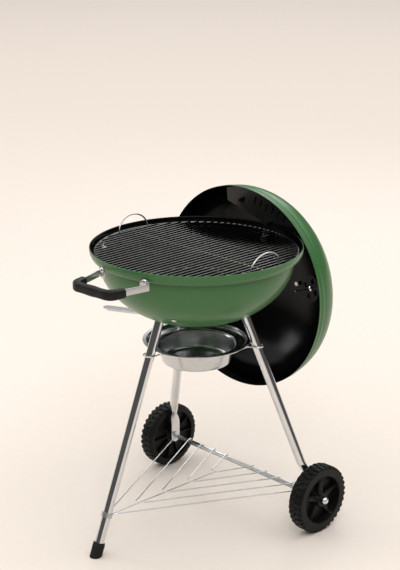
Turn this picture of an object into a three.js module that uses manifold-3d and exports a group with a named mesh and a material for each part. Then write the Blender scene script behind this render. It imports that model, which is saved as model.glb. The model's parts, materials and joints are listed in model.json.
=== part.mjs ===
// Kettle charcoal grill, shown with its lid hanging behind the bowl.
// Millimetres, +Z up. The kettle's axis is vertical, the front leg stands towards -Y,
// and the axle lies along X behind the kettle.
import * as THREE from "three";
import { mergeVertices } from "three/addons/utils/BufferGeometryUtils.js";
import Module from "manifold-3d";

const wasm = await Module();
wasm.setup();

// ---------------------------------------------------------------- driving dimensions

const gap = 0.3; // left between pieces that touch
const runningGap = 0.5; // left round pieces that turn or lift out
const roundSides = 32; // facets round the bowl and the lid

const bowl = {
  rimRadius: 285, rimHeight: 788.5, step: 23, stepHeight: 5, bodyDepth: 180, bandHeight: 26.5, wall: 1.4,
};
const lid = { overlap: 8, step: 5, domeDepth: 160, bandHeight: 27, wall: 1.4 };
const ashSlot = { count: 3, inner: 38, outer: 98, width: 38 }; // width in degrees

const leg = { tubeRadius: 12.5, tubeWall: 1.5, lean: 21.4, floorRadius: 372 }; // lean in degrees
const stub = { length: 42, wall: 2 };
const foot = { wall: 3.5, height: 32 };
const axle = { radius: 5 };
const wheel = { radius: 95, width: 45, hubRadius: 24, pocketDepth: 11, spokes: 5 };
const axlePlate = { thickness: 5, width: 32 };
const rack = { rodRadius: 2.8, wireRadius: 1.8, ribs: 4, frontGap: 3, rise: 4 };

const ashPan = { belowBowl: 54, legClearance: 6.1, depth: 66, wall: 1.4, slope: 63.5, lip: 2, flange: 10 };
const panRing = { wireRadius: 2.1, inset: 5.5 };
const sweeper = {
  shaftRadius: 6, headRadius: 12, headHeight: 5, collarRadius: 11, nutHeight: 6,
  bladeReach: 104, bladeWidth: 42, bladeThickness: 2, lift: 1, // blade width in degrees, lift off the bowl
};
const sweepLever = {
  bearing: -143, tail: 14, reach: 258, width: 26, plate: 2.4, belowBowl: 6,
  crankStart: 96, crankEnd: 160, crankRise: 22, endRise: 7, edgeHeight: 6, edgeWall: 1.6,
};

const cookingGrate = { clearance: 10, depth: 11, wire: 2, rim: 3.2, rods: 33, crosses: [-95, 0, 95] };
const charcoalGrate = { radius: 205, wire: 2.6, rim: 3.8, rods: 13, crosses: [-90, 90] };
const bracket = { width: 22, plate: 2, height: 26, ledge: 14, boltDrop: 14 };
const grateLoop = { halfWidth: 52, height: 42, wire: 2.2, inset: 14 };

const strap = { thickness: 3, width: 18 };
const bowlHandle = { bearing: -85.6, drop: 35, baseHalf: 89, gripHalf: 62, reach: 112 };
const lidHandle = { baseHalf: 82, gripHalf: 58, reach: 62 };
const tab = { length: 27, height: 29, rise: 5.5, boltRise: 12.5 };
const grip = { thickness: 22, height: 27, start: 0.62, corner: 22 };
const bolt = { shank: 3, head: 7.5, headHeight: 4 };

const hook = { depth: 46, plate: 2.4, chord: 193, halfChord: 154, tongue: 24, seat: 11, tongueReach: 15 };
const louvre = { count: 6, pitch: 22.6, width: 6, lean: 2, start: 29, length: 29 };
const eye = { spread: 105, halfWidth: 14, start: 17, height: 24, lean: 8 };
const vent = { offset: 126, bearing: 82, discRadius: 40, holeRadius: 9, holeCircle: 24, holes: 4, stem: 62 };

// How the lid hangs from the bowl's rim: the way that its opening looks, its roll, and where its rim's
// middle is, seen from the foot of the kettle's axis.
const hangingLid = { x: -73.5, behindRim: -43.7, belowRim: 190.5, opening: -87.5, roll: 16.5 };

const bodyRadius = bowl.rimRadius - bowl.step;
const lidRadius = bowl.rimRadius + lid.overlap;
const domeRadius = lidRadius - lid.step;
const cookingRadius = bowl.rimRadius - cookingGrate.clearance;

// ---------------------------------------------------------------- materials

const finish = (color, roughness, metalness) =>
  new THREE.MeshStandardMaterial({ color, roughness, metalness });
const green = finish(0x4f7a4a, 0.28, 0);
const black = finish(0x141414, 0.3, 0);
const chrome = finish(0xd6d8da, 0.12, 1);
const steel = finish(0xb4b6b8, 0.32, 1);
const plastic = finish(0x1c1c1d, 0.55, 0);
const rubber = finish(0x151515, 0.8, 0);
const grateSteel = finish(0x6f6f6e, 0.3, 1);

// ---------------------------------------------------------------- solids and meshes

const radians = THREE.MathUtils.degToRad;
const tiny = 1e-6;

/** A manifold solid from a closed three.js geometry. */
function solid(geometry) {
  const plain = geometry.clone();
  for (const name of Object.keys(plain.attributes)) if (name !== "position") plain.deleteAttribute(name);
  const merged = mergeVertices(plain, 1e-4);
  const corners = merged.index.array;
  const triVerts = [];
  for (let i = 0; i < corners.length; i += 3) {
    const [a, b, c] = corners.slice(i, i + 3);
    if (a !== b && b !== c && c !== a) triVerts.push(a, b, c);
  }
  return new wasm.Manifold(new wasm.Mesh({
    numProp: 3,
    vertProperties: new Float32Array(merged.attributes.position.array),
    triVerts: new Uint32Array(triVerts),
  }));
}

/** The three.js geometry of a manifold solid. */
function geometryOf(body) {
  const { vertProperties, triVerts } = body.getMesh();
  const geometry = new THREE.BufferGeometry();
  geometry.setAttribute("position", new THREE.BufferAttribute(new Float32Array(vertProperties), 3));
  geometry.setIndex([...triVerts]);
  return geometry;
}

const join = (bodies) => bodies.reduce((sum, body) => sum.add(body));
const cut = (body, tools) => tools.reduce((rest, tool) => rest.subtract(tool), body);

const grill = new THREE.Group();
const stand = new THREE.Group(); // everything but the lid, in the kettle's own frame
const hanging = new THREE.Group(); // the lid, built upright and then hung up
grill.add(stand, hanging);

/** Adds a named sub-part to a group. */
function part(group, name, body, material) {
  const mesh = new THREE.Mesh(geometryOf(body), material);
  mesh.name = name;
  group.add(mesh);
}

const at = (x, y, z = 0) => new THREE.Vector3(x, y, z);

/** The point at a radius, bearing (degrees from +X towards +Y) and height. */
const polar = (radius, bearing, z = 0) =>
  at(radius * Math.cos(radians(bearing)), radius * Math.sin(radians(bearing)), z);

/** A solid of revolution about +Z; the profile is a list of [radius, height]. */
function revolve(profile, sides) {
  const points = profile.map(([r, z]) => new THREE.Vector2(Math.max(r, 0), z));
  if (profile[0][0] > tiny || profile.at(-1)[0] > tiny) points.push(points[0].clone());
  const body = solid(new THREE.LatheGeometry(points, sides).rotateX(Math.PI / 2));
  return body.volume() < 0 ? flipped(points, sides) : body;
}

/** The same revolution with its profile reversed, for a profile that ran the other way. */
function flipped(points, sides) {
  return solid(new THREE.LatheGeometry([...points].reverse(), sides).rotateX(Math.PI / 2));
}

/** Moves a solid that was made about +Z so that its +Z runs from one point towards another. */
function aim(body, from, towards) {
  const turn = new THREE.Quaternion().setFromUnitVectors(at(0, 0, 1), towards.clone().sub(from).normalize());
  const matrix = new THREE.Matrix4().compose(from, turn, at(1, 1, 1));
  return body.transform(matrix.elements);
}

/** The profile of a sleeve between two heights, or of a plain cylinder where its inner radius is 0. */
const sleeve = (inner, outer, low, high) => [[inner, low], [outer, low], [outer, high], [inner, high]];

/** A plain round bar between two points. */
const bar = (from, to, radius, sides = 6) =>
  aim(revolve(sleeve(0, radius, 0, from.distanceTo(to)), sides), from, to);

/** A box by its size and centre. */
const box = (size, centre) =>
  solid(new THREE.BoxGeometry(size.x, size.y, size.z).translate(centre.x, centre.y, centre.z));

/** A flat outline (a list of Vector2) given a thickness upwards from z. */
function slab(outline, z, thickness, bevel = 0) {
  const options = { depth: thickness - 2 * bevel, bevelEnabled: bevel > 0, bevelSize: bevel };
  Object.assign(options, { bevelThickness: bevel, bevelOffset: -bevel, bevelSegments: 1 });
  return solid(new THREE.ExtrudeGeometry(new THREE.Shape(outline), options).translate(0, 0, z + bevel));
}

/** A sector of a ring, in degrees, as an outline. */
function sector(inner, outer, middle, width, steps = 6) {
  const bearings = Array.from({ length: steps + 1 }, (_, i) => middle - width / 2 + (width * i) / steps);
  const arc = (radius) => bearings.map((b) => new THREE.Vector2(polar(radius, b).x, polar(radius, b).y));
  return [...arc(outer), ...arc(inner).reverse()];
}

/** A path with its inner corners rounded to a radius. */
function rounded(points, radius, steps = 4) {
  const path = [points[0]];
  for (let i = 1; i < points.length - 1; i++) {
    const [before, corner, after] = [points[i - 1], points[i], points[i + 1]];
    const into = before.clone().sub(corner).normalize();
    const out = after.clone().sub(corner).normalize();
    const half = Math.acos(into.dot(out)) / 2;
    const room = 0.45 * Math.min(before.distanceTo(corner), after.distanceTo(corner));
    const setback = Math.min(radius / Math.tan(half), room);
    const start = corner.clone().addScaledVector(into, setback);
    const end = corner.clone().addScaledVector(out, setback);
    path.push(...new THREE.QuadraticBezierCurve(start, corner, end).getPoints(steps));
  }
  return [...path, points.at(-1)];
}

/** The outline of a strip that follows a flat path at a constant thickness. */
function strip(path, thickness) {
  const side = (sign) => path.map((point, i) => {
    const before = path[Math.max(i - 1, 0)];
    const after = path[Math.min(i + 1, path.length - 1)];
    const first = point.clone().sub(before);
    const second = after.clone().sub(point);
    const a = (first.length() > tiny ? first : second).clone().normalize();
    const b = (second.length() > tiny ? second : first).clone().normalize();
    const along = a.clone().add(b).normalize();
    const normal = new THREE.Vector2(-along.y, along.x);
    return point.clone().addScaledVector(normal, (sign * thickness) / 2 / Math.max(along.dot(a), 0.3));
  });
  return [...side(1), ...side(-1).reverse()];
}

/** A round wire bent along a closed curve. */
const closedWire = (curve, steps, radius, sides = 6) =>
  solid(new THREE.TubeGeometry(curve, steps, radius, sides, true));

/** A round wire bent along an open curve, with flat ends. */
function wire(curve, steps, radius, sides = 6) {
  const section = new THREE.Shape(Array.from({ length: sides }, (_, i) => {
    const turn = (2 * Math.PI * i) / sides;
    return new THREE.Vector2(radius * Math.cos(turn), radius * Math.sin(turn));
  }));
  return solid(new THREE.ExtrudeGeometry(section, { steps, extrudePath: curve, bevelEnabled: false }));
}

/** A round wire ring about +Z. */
const ring = (radius, z, wireRadius, sides = roundSides, around = 4) => revolve(
  Array.from({ length: around }, (_, i) => {
    const turn = (2 * Math.PI * (i + 0.5)) / around;
    return [radius + wireRadius * Math.cos(turn), z + wireRadius * Math.sin(turn)];
  }),
  sides,
);

/** The height above its flat side of a half ellipse at a radius. */
const arch = (radius, halfWidth, depth) => depth * Math.sqrt(Math.max(0, 1 - (radius / halfWidth) ** 2));

/** Points [radius, height] on a quarter ellipse from the axis out to its full radius. */
const quarter = (halfWidth, depth, steps) => Array.from({ length: steps + 1 }, (_, i) => {
  const turn = (Math.PI / 2) * (i / steps);
  return [halfWidth * Math.sin(turn), depth * Math.cos(turn)];
});

// ---------------------------------------------------------------- bowl

const bodyTop = bowl.rimHeight - bowl.bandHeight - bowl.stepHeight;

/** The bowl's outside from its lowest point up to the rim, moved outwards by a clearance. */
const bowlOutside = (grow, steps = 9) => [
  ...quarter(bodyRadius + grow, bowl.bodyDepth + grow, steps).map(([r, z]) => [r, bodyTop - z]),
  [bowl.rimRadius - 7 + grow, bodyTop + 5],
  [bowl.rimRadius + grow, bodyTop + 20],
  [bowl.rimRadius + grow, bowl.rimHeight - 2],
];
const bowlFloor = bodyTop - bowl.bodyDepth;
const innerRadius = bowl.rimRadius - bowl.wall - 2.5;

/** The bowl's inside from the rim down to its lowest point, moved inwards by a clearance. */
const bowlInside = (shrink, steps = 9) => [
  [innerRadius - shrink, bowl.rimHeight - 2.5],
  [bowl.rimRadius - 7 - bowl.wall - shrink, bodyTop + 6 + shrink],
  ...quarter(bodyRadius - bowl.wall - shrink, bowl.bodyDepth - bowl.wall - shrink, steps)
    .map(([r, z]) => [r, bodyTop - z]).reverse(),
];
const bowlBlank = revolve([
  ...bowlOutside(0),
  [bowl.rimRadius - 1.5, bowl.rimHeight],
  [innerRadius + 1, bowl.rimHeight],
  ...bowlInside(0),
], roundSides);

/** The space that the bowl fills, with a clearance, for cutting what is fixed under it. */
const bowlKeepOut = revolve([...bowlOutside(gap + 0.2), [0, bowl.rimHeight - 2]], roundSides);

const sweepBearing = (i) => -90 + 60 + (360 / ashSlot.count) * i; // between the legs
const ashSlots = Array.from({ length: ashSlot.count }, (_, i) =>
  slab(sector(ashSlot.inner, ashSlot.outer, sweepBearing(i), ashSlot.width), bowlFloor - 5, 60));
const shaftHole = bar(at(0, 0, bowlFloor - 5), at(0, 0, bowlFloor + 8), sweeper.shaftRadius + runningGap, 16);

// ---------------------------------------------------------------- bolts and nuts

/** A domed bolt whose head sits on a point and whose shank runs the way it aims. */
function boltAt(point, direction, length) {
  const { shank, head, headHeight } = bolt;
  const profile = [[0, -headHeight], [head * 0.6, -headHeight * 0.8], [head, -1], [head, 0]];
  const body = revolve([...profile, [shank, 0], [shank, length], [0, length]], 10);
  return aim(body, point, point.clone().add(direction));
}

/** The clearance hole for such a bolt. */
const boltHole = (point, direction, length) => bar(
  point.clone().addScaledVector(direction, -1),
  point.clone().addScaledVector(direction, length),
  bolt.shank + gap + 0.2,
  10,
);

/** A hexagon nut on the same axis, starting a distance along it. */
function nutAt(point, direction, start) {
  const inner = bolt.shank + gap + 0.2;
  const blank = revolve([[0, 0], [6.5, 0], [6.5, 4.5], [0, 4.5]], 6);
  const bored = blank.subtract(bar(at(0, 0, -1), at(0, 0, 6), inner, 10));
  const seat = point.clone().addScaledVector(direction, start);
  return aim(bored, seat, seat.clone().add(direction));
}

// ---------------------------------------------------------------- handles

/**
 * A bent flat strap with a moulded grip. The strap's path lies in a plane whose first
 * direction runs along the grip and whose second runs away from what the handle is fixed to.
 */
function handle(foot, baseHalf, gripHalf, reach) {
  const side = (sign) =>
    [new THREE.Vector2(sign * baseHalf, foot), new THREE.Vector2(sign * gripHalf, foot + reach)];
  const [rightBase, rightCorner] = side(1);
  const [leftBase, leftCorner] = side(-1);
  const from = (base, corner) => base.clone().lerp(corner, grip.start);
  const strapPath = rounded([rightBase, rightCorner, leftCorner, leftBase], grip.corner);
  const gripPath = rounded(
    [from(rightBase, rightCorner), rightCorner, leftCorner, from(leftBase, leftCorner)], grip.corner);
  const { thickness, width } = strap;
  const bent = slab(strip(strapPath, thickness), -width / 2, width);
  const clear = slab(strip(strapPath, thickness + 2 * gap), -width / 2 - gap, width + 2 * gap);
  const moulded = slab(strip(gripPath, grip.thickness), -grip.height / 2, grip.height, 4);
  return { bent, grip: moulded.subtract(clear) };
}

/** A transform from a handle's plane into the frame of what it is fixed to. */
const planeInto = (along, away, origin) => new THREE.Matrix4()
  .makeBasis(along, away, along.clone().cross(away))
  .setPosition(origin).elements;

function addBowlHandle() {
  const { bearing, drop, baseHalf, gripHalf, reach } = bowlHandle;
  const face = bowl.rimRadius + gap + strap.thickness / 2;
  const tabBearing = THREE.MathUtils.radToDeg(Math.asin((baseHalf - tab.length / 2) / face));
  const tabEnd = new THREE.Vector2(baseHalf, Math.sqrt(face ** 2 - baseHalf ** 2) + 2.5);
  const { bent, grip: moulded } = handle(tabEnd.y, baseHalf, gripHalf, reach);
  const away = polar(1, bearing);
  const along = polar(1, bearing + 90);
  const place = planeInto(along, away, at(0, 0, bowl.rimHeight - drop));
  const tabs = [1, -1].map((side) => {
    const size = at(strap.thickness, tab.length, tab.height);
    const plate = box(size, at(face, 0, bowl.rimHeight - drop + tab.rise));
    return plate.rotate([0, 0, bearing + side * tabBearing]);
  });
  const holes = [];
  for (const [name, side] of [["right", 1], ["left", -1]]) {
    const out = polar(1, bearing + side * tabBearing);
    const seat = out.clone().multiplyScalar(face + strap.thickness / 2 + gap);
    seat.z = bowl.rimHeight - drop + tab.boltRise;
    const inwards = out.clone().negate();
    const through = seat.clone().setZ(0).length() - (innerRadius - 5);
    part(stand, `bowl_handle_bolt_${name}`, boltAt(seat, inwards, through), steel);
    holes.push(boltHole(seat, inwards, through + 8));
  }
  const [low, high] = [bowl.rimHeight - drop - strap.width, bowl.rimHeight + tab.height];
  const outside = bowl.rimRadius + gap;
  const roundBowl = revolve([[0, low], [outside, low], [outside, high], [0, high]], 80);
  const strapBody = join([bent.transform(place), ...tabs]).subtract(roundBowl);
  part(stand, "bowl_handle_strap", cut(strapBody, holes), steel);
  part(stand, "bowl_handle_grip", moulded.transform(place), plastic);
  return holes;
}

// ---------------------------------------------------------------- legs, sockets and feet

const legBearings = { front: -90, right: 30, left: 150 };
const legRadius = (z) => leg.floorRadius - z * Math.tan(radians(leg.lean));
const onLeg = (bearing, z) => polar(legRadius(z), bearing, z);
const bowlMeetsLeg = () => {
  let z = bowlFloor;
  while (legRadius(z) > bodyRadius * Math.sqrt(1 - ((bodyTop - z) / bowl.bodyDepth) ** 2)) z += 1;
  return z;
};
const legTop = bowlMeetsLeg();
const down = Math.cos(radians(leg.lean));

/** A short tube welded under the bowl, which the leg's tube is pushed over. */
function addStub(name, bearing) {
  const outer = leg.tubeRadius - leg.tubeWall - gap;
  const inner = outer - stub.wall;
  const length = stub.length + 40;
  const low = onLeg(bearing, legTop - stub.length * down);
  const tube = aim(revolve(sleeve(inner, outer, 0, length), 16), low, onLeg(bearing, legTop));
  part(stand, `${name}_leg_stub`, tube.subtract(bowlKeepOut), steel);
}

/** A hollow tube leg from under the bowl down to a height. */
function legTube(bearing, bottom) {
  const { tubeRadius, tubeWall } = leg;
  const inner = tubeRadius - tubeWall;
  const low = onLeg(bearing, bottom);
  const length = low.distanceTo(onLeg(bearing, legTop)) + 30;
  const tube = aim(
    revolve(sleeve(inner, tubeRadius, 0, length), 16), low, onLeg(bearing, legTop));
  return tube.subtract(bowlKeepOut);
}

function addFrontLeg() {
  const bearing = legBearings.front;
  const bottom = 6;
  part(stand, "front_leg", legTube(bearing, bottom + gap), chrome);
  const outer = leg.tubeRadius + foot.wall;
  const bore = leg.tubeRadius + gap;
  const cap = revolve(
    [[0, -20], [outer, -20], [outer, foot.height - 4], [outer - 2, foot.height], [bore, foot.height],
      [bore, 0], [0, 0]], 20);
  const floor = box(at(200, 200, 100), at(0, -leg.floorRadius, -50));
  part(stand, "foot_cap", aim(cap, onLeg(bearing, bottom), onLeg(bearing, legTop)).subtract(floor), rubber);
}

const axleBearing = legBearings.right;
const axleY = legRadius(wheel.radius) * Math.sin(radians(axleBearing));
const onAxle = (x) => at(x, axleY, wheel.radius);
const plateTop = wheel.radius + 58;
const plateX = legRadius(plateTop) * Math.cos(radians(axleBearing));

/** One ring of points of a leg's lower end: a section half-thick in X and half-wide in Y. */
function section(centre, halfThick, halfWide, corners = 16) {
  return Array.from({ length: corners }, (_, i) => {
    const turn = (2 * Math.PI * (i + 0.5)) / corners;
    return at(centre.x + halfThick * Math.cos(turn), centre.y + halfWide * Math.sin(turn), centre.z);
  });
}

/** A closed solid through a stack of rings of points. */
function loft(rings) {
  const corners = rings[0].length;
  const position = rings.flat().flatMap((p) => [p.x, p.y, p.z]);
  const index = [];
  rings.slice(1).forEach((_, k) => {
    for (let i = 0; i < corners; i++) {
      const [a, b] = [k * corners + i, k * corners + ((i + 1) % corners)];
      index.push(a, b, b + corners, a, b + corners, a + corners);
    }
  });
  const last = (rings.length - 1) * corners;
  for (let i = 1; i < corners - 1; i++) index.push(0, i + 1, i, last, last + i, last + i + 1);
  const geometry = new THREE.BufferGeometry();
  geometry.setAttribute("position", new THREE.Float32BufferAttribute(position, 3));
  geometry.setIndex(index);
  return solid(geometry);
}

function addWheelLeg(name, bearing, side) {
  const { tubeRadius } = leg;
  const bend = plateTop + 42;
  const tubeEnd = onLeg(bearing, bend);
  const plateEnd = at(side * plateX, axleY * 0.97, plateTop);
  const low = onAxle(side * plateX);
  const { thickness, width } = axlePlate;
  const drop = width / 2;
  const flat = loft([
    section(low.clone().setZ(wheel.radius - drop), thickness / 2, drop * 0.45),
    section(low.clone().setZ(wheel.radius - drop * 0.6), thickness / 2, drop * 0.9),
    section(low, thickness / 2, drop),
    section(plateEnd, thickness / 2, drop),
    section(tubeEnd, tubeRadius / down * 0.98, tubeRadius * 0.98),
  ]);
  const boltThrough = bar(onAxle(-plateX * 2), onAxle(plateX * 2), axle.radius + gap, 12);
  const tube = legTube(bearing, bend - 1.5);
  part(stand, `${name}_wheel_leg`, join([tube, flat]).subtract(boltThrough), chrome);
}

// ---------------------------------------------------------------- axle and wheels

const bushLength = 6;
const wheelInner = plateX + axlePlate.thickness / 2 + bushLength + 2 * gap;
const wheelOuter = wheelInner + wheel.width;

/** Moves a solid made about +Z onto the axle, its +Z pointing outwards on a side. */
const ontoAxle = (body, side, x) => aim(body, onAxle(side * x), onAxle(side * (x + 1)));

function addAxle() {
  const reach = wheelOuter + 9;
  part(stand, "axle", bar(onAxle(-reach), onAxle(reach), axle.radius, 12), steel);
}

function addWheel(name, side) {
  const { radius, width, hubRadius, pocketDepth, spokes } = wheel;
  const bore = axle.radius + runningGap;
  const shoulder = radius - 8;
  const rimInner = radius - 21;
  const blank = revolve([
    [bore, 0], [hubRadius, 0], [hubRadius, 12], [rimInner, 12], [rimInner, 3], [shoulder, 0], [radius - 2, 4],
    [radius, 9], [radius, width - 9], [radius - 2, width - 4], [shoulder, width], [rimInner, width - 3],
    [rimInner - 4, width - 9], [hubRadius - 2, width - 9], [hubRadius - 5, width], [bore, width],
  ], 28);
  const pockets = Array.from({ length: spokes }, (_, i) => {
    const outline = sector(hubRadius + 5, rimInner - 9, 90 + (360 / spokes) * i, 44, 3);
    return slab(outline, width - 9 - pocketDepth, pocketDepth + 5);
  });
  part(stand, `${name}_wheel`, ontoAxle(cut(blank, pockets), side, wheelInner), plastic);
  const bush = revolve(sleeve(axle.radius + gap, axle.radius * 2, 0, bushLength), 14);
  part(stand, `${name}_wheel_bush`, ontoAxle(bush, side, wheelInner - gap - bushLength), steel);
  const end = axle.radius + gap;
  const nut = revolve(
    [[0, 9 + gap], [end, 9 + gap], [end, gap], [11, gap], [11, 5], [9, 11], [5, 14], [0, 15]], 14);
  part(stand, `${name}_hub_nut`, ontoAxle(nut, side, wheelOuter), chrome);
}

// ---------------------------------------------------------------- bottom rack

function addRack() {
  const { rodRadius, wireRadius, ribs, frontGap, rise } = rack;
  const z = wheel.radius + axle.radius + rodRadius + gap;
  const frontZ = z + rise;
  const front = -(legRadius(frontZ) - leg.tubeRadius / down - wireRadius - frontGap);
  const back = axleY;
  const half = plateX - axlePlate.thickness / 2 - rodRadius - 3;
  const count = ribs + 1;
  const overlap = 0.2;
  const wires = [bar(at(-half - 1, back, z), at(half + 1, back, z), rodRadius, 4)];
  const apexAt = (i) => {
    const y = back + ((front - back) * i) / count;
    return at(0, y, z + (rise * (back - y)) / (back - front));
  };
  for (let i = 1; i <= count; i++) {
    const x = (half * i) / count;
    for (const side of [-1, 1]) {
      wires.push(bar(apexAt(i).setX(-side * overlap), at(side * x, back, z), wireRadius, 4));
    }
  }
  wires.push(bar(apexAt(1).setY(apexAt(1).y + 1), apexAt(count).setY(front - 1), wireRadius, 4));
  part(stand, "bottom_rack", join(wires), chrome);
  const bearing = legBearings.front;
  const clip = leg.tubeRadius + gap + 0.2;
  const band = revolve([[clip, -6], [clip + 1.8, -6], [clip + 1.8, 6], [clip, 6]], 16);
  const centre = onLeg(bearing, frontZ);
  const tongue = aim(band, centre, onLeg(bearing, legTop));
  const open = bar(at(0, front - 4, frontZ), at(0, front + 12, frontZ), wireRadius + gap + 0.3, 8);
  part(stand, "rack_leg_clip", tongue.subtract(open), steel);
}

// ---------------------------------------------------------------- ash pan and its wire ring

function addAshPan() {
  const { belowBowl, legClearance, depth, wall, slope, lip, flange } = ashPan;
  const rimHeight = bowlFloor - belowBowl;
  const rimRadius = legRadius(rimHeight) - leg.tubeRadius / down - legClearance;
  const floorRadius = rimRadius - slope;
  const bottom = rimHeight - depth;
  const outside = [
    [0, bottom], [floorRadius, bottom], [floorRadius + 10, bottom + 4], [floorRadius + 22, rimHeight - 14],
    [rimRadius - flange - 5, rimHeight - 11], [rimRadius - flange + 1, rimHeight - lip],
    [rimRadius, rimHeight - lip], [rimRadius, rimHeight],
  ];
  const inside = outside.slice(0, -1).map(([r, z]) => [Math.max(r - wall, 0), z + wall]);
  const profile = [...outside, [rimRadius - flange, rimHeight], ...inside.slice(0, 5).reverse()];
  part(stand, "ash_pan", revolve(profile, 28), chrome);

  const ringRadius = rimRadius - panRing.inset;
  const z = rimHeight - lip - panRing.wireRadius - gap;
  const legAt = legRadius(z);
  const side = leg.tubeRadius + panRing.wireRadius + 2;
  const outer = leg.tubeRadius / down + panRing.wireRadius + 1.6;
  const points = [];
  for (const bearing of [legBearings.front, legBearings.right, legBearings.left]) {
    const local = (away, across) => polar(away, bearing, z).add(polar(across, bearing + 90));
    points.push(polar(ringRadius, bearing - 14, z));
    for (const sign of [-1, 0, 1]) {
      const loop = [local(ringRadius + 7, sign * side), local(legAt - 4, sign * side),
        local(legAt + outer * 0.72, sign * side * 0.78)];
      points.push(...(sign === 0 ? [local(legAt + outer + 1, 0)] : sign < 0 ? loop : loop.reverse()));
    }
    for (let step = 14; step < 106; step += 18.4) points.push(polar(ringRadius, bearing + step, z));
  }
  const curve = new THREE.CatmullRomCurve3(points, true, "centripetal");
  part(stand, "ash_pan_wire_ring", closedWire(curve, 96, panRing.wireRadius, 4), chrome);
}

// ---------------------------------------------------------------- ash sweeper

function addSweeper() {
  const { shaftRadius, headRadius, headHeight, collarRadius, nutHeight } = sweeper;
  const { bladeReach, bladeWidth, bladeThickness, lift } = sweeper;
  const bore = bar(at(0, 0, bowlFloor - bladeReach), at(0, 0, bowlFloor + bladeReach), shaftRadius + gap, 16);

  // Three blades follow the bowl's inside and run together into a flat hub on the shaft.
  const dish = (offset) => quarter(bodyRadius - bowl.wall - offset, bowl.bodyDepth - bowl.wall - offset, 16)
    .map(([r, z]) => [r, bodyTop - z]).filter(([r]) => r < bladeReach + 25);
  const shell = revolve([...dish(lift), ...dish(lift + bladeThickness).reverse()], roundSides);
  const open = -(ashSlot.width + bladeWidth) / 2;
  const blades = Array.from({ length: ashSlot.count }, (_, i) =>
    slab(sector(shaftRadius - 1, bladeReach, sweepBearing(i) + open, bladeWidth), bowlFloor - 10, 80));
  const hubRadius = headRadius + 4;
  const top = bowlFloor + bowl.wall + lift + bladeThickness + 0.4;
  const hub = revolve(sleeve(0, hubRadius, top - bladeThickness, top), 16);
  part(stand, "sweep_blades", join([shell.intersect(join(blades)), hub]).subtract(bore), steel);

  const leverTop = bowlFloor - sweepLever.belowBowl;
  const nutTop = leverTop - sweepLever.plate - gap;
  const shaftEnd = nutTop - nutHeight - 1;
  const shaft = [[0, shaftEnd], [shaftRadius, shaftEnd], [shaftRadius, top + gap], [headRadius, top + gap],
    [headRadius, top + headHeight - 2], [headRadius - 4, top + headHeight], [0, top + headHeight]];
  part(stand, "sweep_shaft", revolve(shaft, 16), steel);
  const collar = (low, high) => sleeve(shaftRadius + gap, collarRadius, low, high);
  part(stand, "sweep_spacer", revolve(collar(leverTop + gap, bowlFloor - gap - 0.4), 16), steel);
  part(stand, "sweep_nut", revolve(collar(nutTop - nutHeight, nutTop), 6).subtract(bore), steel);
  addSweepLever(leverTop, bore);
}

/** A flat lever under the bowl, cranked up beside it, with its long edges turned down. */
function addSweepLever(top, bore) {
  const { bearing, tail, reach, width, plate, edgeHeight, edgeWall } = sweepLever;
  const { crankStart, crankEnd, crankRise, endRise } = sweepLever;
  const end = crankRise + endRise;
  const path = [[-tail, 0], [crankStart, 0], [crankEnd, crankRise], [reach, end]].map(([r, z]) =>
    new THREE.Vector2(r, top - plate / 2 + z));
  const upright = new THREE.Matrix4().makeBasis(at(1, 0, 0), at(0, 0, 1), at(0, -1, 0)).elements;
  const bent = slab(strip(path, plate), -width / 2, width).transform(upright);
  const round = (middle) => sector(0, width / 2, middle, 180, 8).slice(0, 9);
  const toEnd = new THREE.Vector2(reach - width / 2, 0);
  const plan = [...round(180), ...round(0).map((p) => p.clone().add(toEnd))];
  const rounding = slab(plan, top - end - plate, 2 * (end + plate) + end);
  const edgeDrop = (plate + edgeHeight) / 2 - 1;
  const edgePath = path.slice(2).map((p) => p.clone().add(new THREE.Vector2(-tail, -edgeDrop)));
  const edge = slab(strip(edgePath, edgeHeight), 0, edgeWall).transform(upright);
  const edges = [width / 2 - 1, -width / 2 + 1 + edgeWall].map((y) => edge.translate([0, y, 0]));
  const body = join([bent.intersect(rounding), ...edges]).subtract(bore);
  part(stand, "sweep_lever", body.rotate([0, 0, bearing]), steel);
}

// ---------------------------------------------------------------- grates and their supports

/** How far below a grate's top its rim's middle is. */
const grateRim = ({ wire: rod }) => 2 * rod + gap / 2;

/** A round wire grate: a rim, rods along Y laid over cross wires along X. */
function grate(design, radius, top) {
  const { wire: rod, rim, rods, crosses } = design;
  const rimRadius = radius - rim;
  const middle = top - grateRim(design);
  const wires = [ring(rimRadius, middle, rim)];
  const pitch = (2 * rimRadius) / (rods + 1);
  for (let i = 1; i <= rods; i++) {
    const x = -rimRadius + pitch * i;
    const half = Math.sqrt(rimRadius ** 2 - x ** 2);
    wires.push(bar(at(x, -half, top - rod), at(x, half, top - rod), rod, 4));
  }
  for (const y of crosses) {
    const half = Math.sqrt(rimRadius ** 2 - y ** 2);
    const z = top - 3 * rod - gap;
    wires.push(bar(at(-half, y, z), at(half, y, z), rod, 4));
  }
  return join(wires);
}

const cookingTop = bowl.rimHeight - cookingGrate.depth;
const cookingSeat = cookingTop - grateRim(cookingGrate) - cookingGrate.rim;
/** The height of the bowl's inside at a radius. */
const bowlInsideAt = (radius) => bodyTop - arch(radius, bodyRadius - bowl.wall, bowl.bodyDepth - bowl.wall);
const charcoalTop = 12 + bowlInsideAt(charcoalGrate.radius + 6);
const charcoalSeat = charcoalTop - grateRim(charcoalGrate) - charcoalGrate.rim;

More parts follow.
